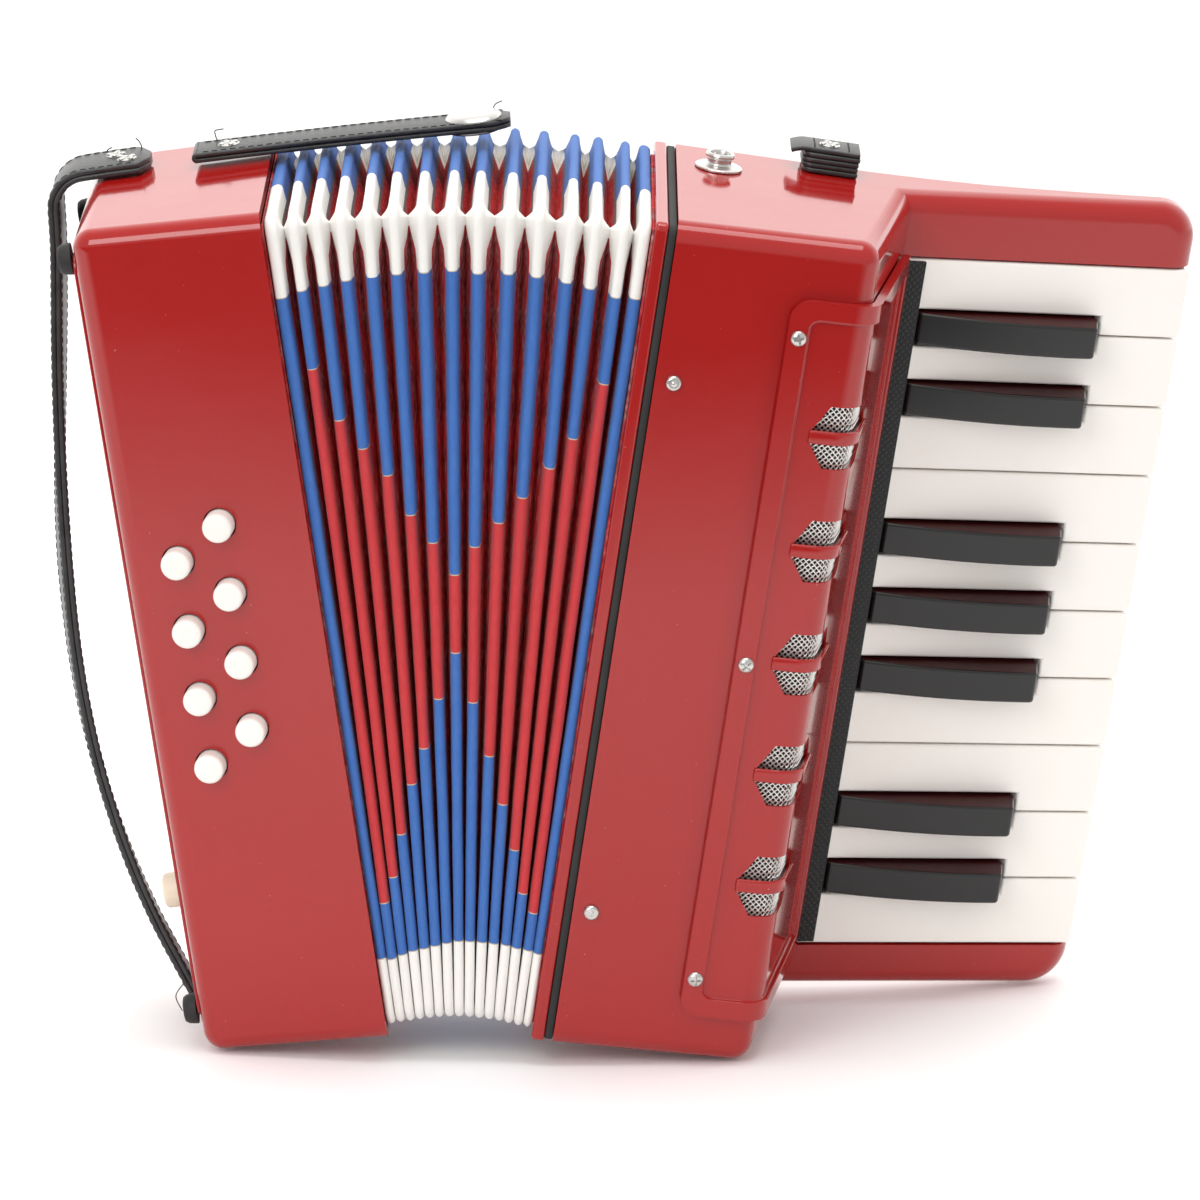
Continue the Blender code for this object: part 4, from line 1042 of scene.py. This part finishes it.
# ---- straps -----------------------------------------------------------------
def ribbon(centre_line, width, lo, hi, r=0.45, ends=True, twist=None):
    """A strap layer along (x, y, z) points: width(i, t) gives (half width below, half width above) along Y; lo and hi are its faces across the path."""
    rows = []
    n = len(centre_line)
    for i, (x, y, z) in enumerate(centre_line):
        x0, _, z0 = centre_line[max(i - 1, 0)]
        x1, _, z1 = centre_line[min(i + 1, n - 1)]
        l = hypot(x1 - x0, z1 - z0) or 1
        nx, nz = -(z1 - z0) / l, (x1 - x0) / l
        a, b = width(i / (n - 1))
        sec = round_rect(-a, b, lo, hi, min(r, (hi - lo) / 2.02), 3)
        k = twist(z) if twist else 0.0
        rows.append([(x + nx * (d + w * k), y + w, z + nz * (d + w * k)) for w, d in sec])
    return fix_normals(grid_mesh("ribbon", rows, closed_cols=True, cap=ends))


def along(centre_line, s):
    """Point, tangent and normal at a length along a path of (x, y, z)."""
    done = 0.0
    for a, b in zip(centre_line, centre_line[1:]):
        l = sqrt(sum((q - p) ** 2 for p, q in zip(a, b)))
        if done + l >= s or b is centre_line[-1]:
            t = min(1, (s - done) / l)
            p = Vector(a).lerp(Vector(b), t)
            tx, tz = (b[0] - a[0]), (b[2] - a[2])
            h = hypot(tx, tz)
            return p, Vector(b) - Vector(a), Vector((-tz / h, 0, tx / h))
        done += l


def length_of(line):
    return sum(sqrt(sum((q - p) ** 2 for p, q in zip(a, b))) for a, b in zip(line, line[1:]))


def stitches(line, offset, height, start, stop, step=2.5, stitch=2.05, r=0.15, seed=5, twist=None):
    """Small thread stitches at a sideways offset, lying on the strap's upper face."""
    rnd = random.Random(seed)
    out = []
    s = start
    while s + stitch < stop:
        a, _, na = along(line, s)
        b, _, nb = along(line, s + stitch)
        mid, _, nm = along(line, s + stitch / 2)
        oy = Vector((0, offset + rnd.uniform(-0.1, 0.1), 0)) + na * (offset * twist(mid.z) if twist else 0.0)
        h, up = height, 1 if height > 0 else -1
        pts = [a + oy + na * (h - 0.25 * up), a.lerp(mid, 0.35) + oy + na * (h + 0.05 * up), mid + oy + nm * (h + 0.07 * up),
               mid.lerp(b, 0.65) + oy + nb * (h + 0.05 * up), b + oy + nb * (h - 0.25 * up)]
        out.append(tube(pts, r, 6))
        s += step
    return join(out)


def petal_rivet(r=2.7, n=4):
    """A hollow rivet head, split and pressed flat into petals around its bore."""
    parts = [turned([(0.75, -0.3), (0.75, 0.42), (0.95, 0.62), (1.25, 0.62), (1.5, 0.42), (r * 0.8, 0.2), (r, 0.08), (r, -0.3), (0.75, -0.3)], 36)]
    for i in range(n):
        e = ellipsoid((1.85, 0, 0.42), (0.95, 0.78, 0.34), 20, 12)
        e.transform(Matrix.Rotation(2 * pi * i / n + 0.4, 4, "Z"))
        parts.append(e)
    parts.append(turned([(0, 0.0), (0.7, 0.0), (0.8, -0.3), (0, -0.3)], 20))
    return join(parts)


def wisp(points, name, matrix, body, r=0.16):
    """A loose end of thread, smoothed through its points."""
    pts = []
    P = [Vector(p) for p in points]
    for i in range(len(P) - 1):
        p0, p1, p2, p3 = P[max(i - 1, 0)], P[i], P[i + 1], P[min(i + 2, len(P) - 1)]
        for j in range(8):
            t = j / 8
            pts.append(0.5 * ((2 * p1) + (p2 - p0) * t + (2 * p0 - 5 * p1 + 4 * p2 - p3) * t * t + (3 * p1 - p0 - 3 * p2 + p3) * t ** 3))
    pts.append(P[-1])
    return show(name, tube(pts, r, 5), THREAD, matrix, body)


def hand_line(n=64):
    pts = []
    top_z = CASE_H + 2.3
    for i in range(12):
        pts.append((B0 - 33.0 - i * 1.36, top_z + 0.15 * sin(i / 11 * pi)))
    pts += [(x, z) for x, z in arc(B1 - 0.5, CASE_H - 7.0, 9.3, 84, 176, 16)]
    for i in range(1, n):
        t = i / n
        z = (CASE_H - 9.0) * (1 - t) + 9.0 * t
        bow = 16.5 * (sin(pi * t ** 1.35) ** 0.8)
        pts.append((B1 - 9.6 - bow + 4.2 * t, z))
    pts.append((B1 - 5.0, 5.0))
    # evened out, so that the bends run smoothly into each other
    for _ in range(3):
        pts = [pts[0]] + [((a[0] + 2 * b[0] + c[0]) / 4, (a[1] + 2 * b[1] + c[1]) / 4) for a, b, c in zip(pts, pts[1:], pts[2:])] + [pts[-1]]
    return [(x, 46.0 + 25.0 * max(z, 0) / CASE_H, z) for x, z in pts]


hl = hand_line()
L = length_of(hl)
pointed = lambda t: (10.0 * min(1.0, 0.42 + t * 26), 10.0 * min(1.0, 0.30 + t * 26))
inner_w = lambda t: (9.7 * min(1.0, 0.42 + t * 26), 9.7 * min(1.0, 0.30 + t * 26))


def turn_edge_on(z):
    """The hand strap lies flat over the case, then turns a little as it hangs."""
    u = max(0.0, min(1.0, (0.86 - z / CASE_H) / 0.34))
    return -0.17 * u * u * (3 - 2 * u)


m = join([ribbon(hl, pointed, -0.03, 1.5, 0.5, twist=turn_edge_on), ribbon(hl, inner_w, -1.5, 0.03, 0.5, twist=turn_edge_on)])
show("hand_strap_layers", m, LEATHER, BASS, "bass", ("hand_strap",), 50)
m = join([stitches(hl, s, h, 4.5, L - 3, seed=int(8 + s + h), twist=turn_edge_on) for s in (-8.5, 8.5) for h in (1.5, -1.5)])
show("hand_strap_stitches", m, THREAD, BASS, "bass", (), 60)
for i, (x, y, a) in enumerate(((B0 - 39.2, 67.6, 0.3), (B0 - 42.6, 73.4, 1.0)), 1):
    m = petal_rivet()
    m.transform(Matrix.Translation(mm(x, y, CASE_H + 4.1)) @ Matrix.Rotation(a, 4, "Z"))
    show("hand_strap_rivet_%d" % i, m, CHROME, BASS, "bass", (), 40)
wisp([(B0 - 36, 78.5, CASE_H + 3.6), (B0 - 35.8, 77.5, CASE_H + 4.6), (B0 - 36.2, 77.0, CASE_H + 6.2), (B0 - 36.8, 76.0, CASE_H + 7.4)], "thread_end_1", BASS, "bass")
wisp([(B0 - 46, 79.5, CASE_H + 3.4), (B0 - 45.2, 78.8, CASE_H + 4.6), (B0 - 44.0, 78.0, CASE_H + 5.2)], "thread_end_2", BASS, "bass")
wisp([(B1 - 6.2, 46.5, 8.0), (B1 - 9.5, 40.0, 6.0), (B1 - 8.0, 36.5, 2.5)], "thread_end_3", BASS, "bass")

# the bellows strap: one band folded back on itself at the rivet end
hx, hz = B0 - 11.0, CASE_H + 3.0
drop = tan(radians(-1.45))
x0, x1 = B0 - 21.0, B0 + 66.0
top_line = [(x0 + 1.4 + (x1 - x0 - 1.4) * i / 60, STRAP_Y, hz + (x0 + 1.4 + (x1 - x0 - 1.4) * i / 60 - hx) * drop + 0.35 * sin(pi * i / 60)) for i in range(61)]
tipped = lambda t: (7.0 - 3.6 * max(0.0, (t - 0.93) / 0.07) ** 2,) * 2
loop_c = (x0 + 1.45, hz + (x0 - hx) * drop)
loop = [(x, STRAP_Y, z) for x, z in arc(loop_c[0], loop_c[1], 0.78, 90, 270, 12)]
m = join([ribbon(top_line, tipped, 0.1, 1.4, 0.45),
          ribbon([(x, y, z) for x, y, z in top_line], lambda t: tuple(v - 0.25 for v in tipped(t)), -1.4, -0.08, 0.45),
          ribbon(loop, lambda t: (7.0, 7.0), -0.68, 0.68, 0.45)])
show("bellows_strap_layers", m, LEATHER, BASS, "bellows_strap", ("bellows_strap",), 50)
LS = length_of(top_line)
m = join([stitches(top_line, -5.8, 1.4, 1.5, LS - 2, seed=3), stitches(top_line, 5.8, 1.4, 1.5, LS - 2, seed=4)])
show("bellows_strap_stitches", m, THREAD, BASS, "bellows_strap", (), 60)
slope = Matrix.Rotation(radians(1.45), 4, "Y")
m = petal_rivet(3.0)
m.transform(Matrix.Translation(mm(hx, STRAP_Y, hz + 1.6)) @ slope)
show("bellows_strap_rivet", m, CHROME, BASS, "bellows_strap", (), 40)
cap_x = B0 + 56.1
cap_z = hz + (cap_x - hx) * drop
m = turned([(0, 1.75), (3.2, 1.72), (5.2, 1.6), (6.4, 1.34), (7.2, 0.9), (7.65, 0.35), (7.7, 0.0), (7.4, -0.15), (0, -0.15)], 56)
m.transform(Matrix.Translation(mm(cap_x, STRAP_Y, cap_z + 1.55)) @ slope)
show("snap_cap", m, CHROME, BASS, "bellows_strap", (), 30)
m = turned([(4.45, -0.55), (4.35, -0.5), (4.35, -0.1), (4.3, 0.3), (7.4, 0.3), (7.6, 0.0), (7.3, -0.3), (6.2, -0.42), (5.9, -0.5), (5.6, -0.55), (5.0, -0.58), (4.45, -0.55)], 48)
m.transform(Matrix.Translation(mm(cap_x, STRAP_Y, cap_z - 1.55)) @ slope)
show("snap_socket", m, DARK_METAL, BASS, "bellows_strap", (), 40)
wisp([(x1 - 5, 73.0, cap_z + 1.4), (x1 - 4.4, 73.2, cap_z + 2.2), (x1 - 3.6, 72.6, cap_z + 3.2), (x1 - 1.8, 72.0, cap_z + 3.9)], "thread_end_4", BASS, "bellows_strap")
wisp([(hx - 3.5, 72.5, hz + 1.8), (hx - 3.8, 72.6, hz + 3.4), (hx - 3.5, 72.2, hz + 4.5), (hx - 1.2, 71.5, hz + 4.8)], "thread_end_5", BASS, "bellows_strap")

# snap stud on the treble case
m = turned([(0, 1.5), (2.2, 1.5), (2.45, 1.7), (2.5, 3.6), (2.75, 4.2), (3.3, 4.45), (3.85, 4.2), (4.05, 3.7), (3.9, 3.1), (3.4, 2.6),
            (3.3, 1.6), (3.55, 1.15), (4.4, 0.95), (6.1, 0.75), (6.5, 0.45), (6.5, 0.0), (0, 0.0)], 48)
m.transform(Matrix.Translation(mm(*STUD_AT, CASE_H + 0.25)))
show("stud_turned", m, CHROME, TREBLE, "treble", ("snap_stud",), 34)

# shoulder-strap bracket: a stack of cut leatherette with a flap
layers = []
for i in range(4):
    rnd = random.Random(30 + i)
    j = [rnd.uniform(-0.3, 0.3) for _ in range(4)]
    z = CASE_H + 0.4 + i * 1.36
    out = round_rect(34.6 + j[0], 50.2 + j[1], 75.9 + j[2], 89.4 + j[3], (3.0, 1.0, 1.2, 1.2), 5)
    layers.append(apply(prism(out, z, z + 1.24), [("bevel", 0.32, 2, 40)]))
show("bracket_layers", join(layers), LEATHER, TREBLE, "treble", ("shoulder_strap_bracket",), 45)
flap = [(50.0 - i * 0.9, 83.0, CASE_H + 6.4 - (0.0 if i < 17 else 0.13 * (i - 17) ** 1.5)) for i in range(22)]
show("bracket_flap", ribbon(flap, lambda t: (6.5 - 1.0 * t, 6.4), -0.62, 0.62, 0.4), LEATHER, TREBLE, "treble", (), 50)
m = petal_rivet(2.9)
m.transform(Matrix.Translation(mm(41.6, 82.6, CASE_H + 7.2)))
show("bracket_rivet", m, CHROME, TREBLE, "treble", (), 40)
crosses = [tube([(cx, 77.6, CASE_H + 6.7), (cx, 78.0, CASE_H + 7.1), (cx + 0.1, 82.6, CASE_H + 7.14), (cx, 88.2, CASE_H + 7.1), (cx, 88.7, CASE_H + 6.7)], 0.2, 6)
           for cx in (37.4, 46.9)]
show("bracket_stitches", join(crosses), THREAD, TREBLE, "treble", (), 60)

# side plate over the reed access, drawn thin and close to the case
m = apply(prism([round_rect(14.0, CASE_D - 7.0, 8.0, CASE_H - 8.0, 4.0, 6), arc(24.0, 43.0, 5.4, 0, 351, 39)], B1 - 1.15, B1 - 0.12, "YZ"), [("bevel", 0.35, 3, 40)])
show("side_plate_sheet", m, RED, BASS, "bass", ("bass_side_plate",), 30)

# ---- solids that stay, with their own finish --------------------------------
for node, mat in (("treble_rear_cover", RED), ("treble_reed_board", CARD), ("key_axle", STEEL)):
    o = frame["nodes"][node] if isinstance(frame["nodes"], dict) else bpy.data.objects[node]
    put_loc(o.data, [v.co / MM for v in o.data.vertices])
    for s in o.material_slots:
        s.material = mat
    if not o.material_slots:
        o.data.materials.append(mat)

# ---- camera, floor, light ---------------------------------------------------
def rot(axis, a):
    return Matrix.Rotation(a, 4, axis)


cam_data = bpy.data.cameras.new("camera")
cam = bpy.data.objects.new("camera", cam_data)
bpy.context.scene.collection.objects.link(cam)
cam_data.sensor_width = 36
cam_data.sensor_fit = "HORIZONTAL"
cam_data.lens = 6500 / 1200 * 36
cam_data.clip_end = 20
# the pose was found with the treble case lean first and the forward tip after it
M = rot("Z", -0.0030748) @ rot("X", -0.3125876) @ rot("Y", -0.0191133)
C = Vector((0.0058276, -1.656052, 0.6709992)) - Vector((0, 0, 0.0067956))
place = PUT @ tip
axes = (tip @ M).to_3x3()
cam_m = Matrix.Identity(4)
cam_m.col[0][:3] = axes.col[0]
cam_m.col[1][:3] = axes.col[2]
cam_m.col[2][:3] = -axes.col[1]
cam_m.translation = place @ C
cam.matrix_world = cam_m
bpy.context.scene.camera = cam

floor_bm = bmesh.new()
bmesh.ops.create_grid(floor_bm, x_segments=2, y_segments=2, size=6)
floor_mesh = bpy.data.meshes.new("floor")
floor_bm.to_mesh(floor_mesh)
floor_bm.free()
floor = bpy.data.objects.new("floor", floor_mesh)
bpy.context.scene.collection.objects.link(floor)
fm = bpy.data.materials.new("floor")
fm.use_nodes = True
fp = fm.node_tree.nodes["Principled BSDF"]
# painted shade on the floor: white round the object, dimmed in front of it (except off to the right) where the glossy
# case reflects it, standing in for the darker room beyond the table's front edge, out of the camera's sight
geo = fm.node_tree.nodes.new("ShaderNodeNewGeometry")
sep = fm.node_tree.nodes.new("ShaderNodeSeparateXYZ")
rng = fm.node_tree.nodes.new("ShaderNodeMapRange")
rng.inputs["From Min"].default_value, rng.inputs["From Max"].default_value = -0.50, -0.32
rng.inputs["To Min"].default_value, rng.inputs["To Max"].default_value = 0.10, 0.93
fm.node_tree.links.new(geo.outputs["Position"], sep.inputs["Vector"])
fm.node_tree.links.new(sep.outputs["Y"], rng.inputs["Value"])
right = fm.node_tree.nodes.new("ShaderNodeMapRange")
right.inputs["From Min"].default_value, right.inputs["From Max"].default_value = 0.22, 0.55
right.inputs["To Min"].default_value, right.inputs["To Max"].default_value = 0.10, 0.62
brighter = fm.node_tree.nodes.new("ShaderNodeMath")
brighter.operation = "MAXIMUM"
fm.node_tree.links.new(sep.outputs["X"], right.inputs["Value"])
fm.node_tree.links.new(right.outputs["Result"], brighter.inputs[0])
fm.node_tree.links.new(rng.outputs["Result"], brighter.inputs[1])
# looked at directly the whole table is pale; the painted dimming shows only in its reflections
path = fm.node_tree.nodes.new("ShaderNodeLightPath")
seen = fm.node_tree.nodes.new("ShaderNodeMath")
seen.operation = "MULTIPLY_ADD"
seen.inputs[1].default_value = 0.93
seen.use_clamp = True
fm.node_tree.links.new(path.outputs["Is Camera Ray"], seen.inputs[0])
fm.node_tree.links.new(brighter.outputs[0], seen.inputs[2])
fm.node_tree.links.new(seen.outputs[0], fp.inputs["Base Color"])
fp.inputs["Roughness"].default_value = 0.5
fp.inputs["Specular IOR Level"].default_value = 0.25
floor_mesh.materials.append(fm)

world = bpy.data.worlds.new("world")
world.use_nodes = True
bg = world.node_tree.nodes["Background"]
bg.inputs["Color"].default_value = (1, 0.99, 0.972, 1)
wt = world.node_tree
co = wt.nodes.new("ShaderNodeTexCoord")
ws = wt.nodes.new("ShaderNodeSeparateXYZ")
wr = wt.nodes.new("ShaderNodeMapRange")
wr.interpolation_type = "SMOOTHSTEP"
wr.inputs["From Min"].default_value, wr.inputs["From Max"].default_value = -0.15, 0.75
wr.inputs["To Min"].default_value, wr.inputs["To Max"].default_value = 0.80, 1.66
wt.links.new(co.outputs["Generated"], ws.inputs["Vector"])
wt.links.new(ws.outputs["Y"], wr.inputs["Value"])
wp = wt.nodes.new("ShaderNodeLightPath")
wm = wt.nodes.new("ShaderNodeMath")
wm.operation = "MAXIMUM"
wm.inputs[0].default_value = 0.0
wt.links.new(wp.outputs["Is Camera Ray"], wm.inputs[0])
wt.links.new(wr.outputs["Result"], wm.inputs[1])
wt.links.new(wm.outputs[0], bg.inputs["Strength"])
bpy.context.scene.world = world
bpy.context.scene.view_settings.view_transform = "Standard"


def area(name, at, look, size, energy, size_y=None):
    l = bpy.data.lights.new(name, "AREA")
    l.energy = energy
    l.size = size
    if size_y:
        l.shape = "RECTANGLE"
        l.size_y = size_y
    o = bpy.data.objects.new(name, l)
    bpy.context.scene.collection.objects.link(o)
    o.location = at
    o.rotation_euler = (Vector(look) - Vector(at)).to_track_quat("-Z", "Y").to_euler()
    return o


area("top_soft", (0.0, -0.25, 1.5), (0, 0, 0.1), 1.1, 9, 0.7)
area("front_soft", (-0.7, -1.5, 1.0), (0, 0, 0.12), 0.9, 12, 0.9)
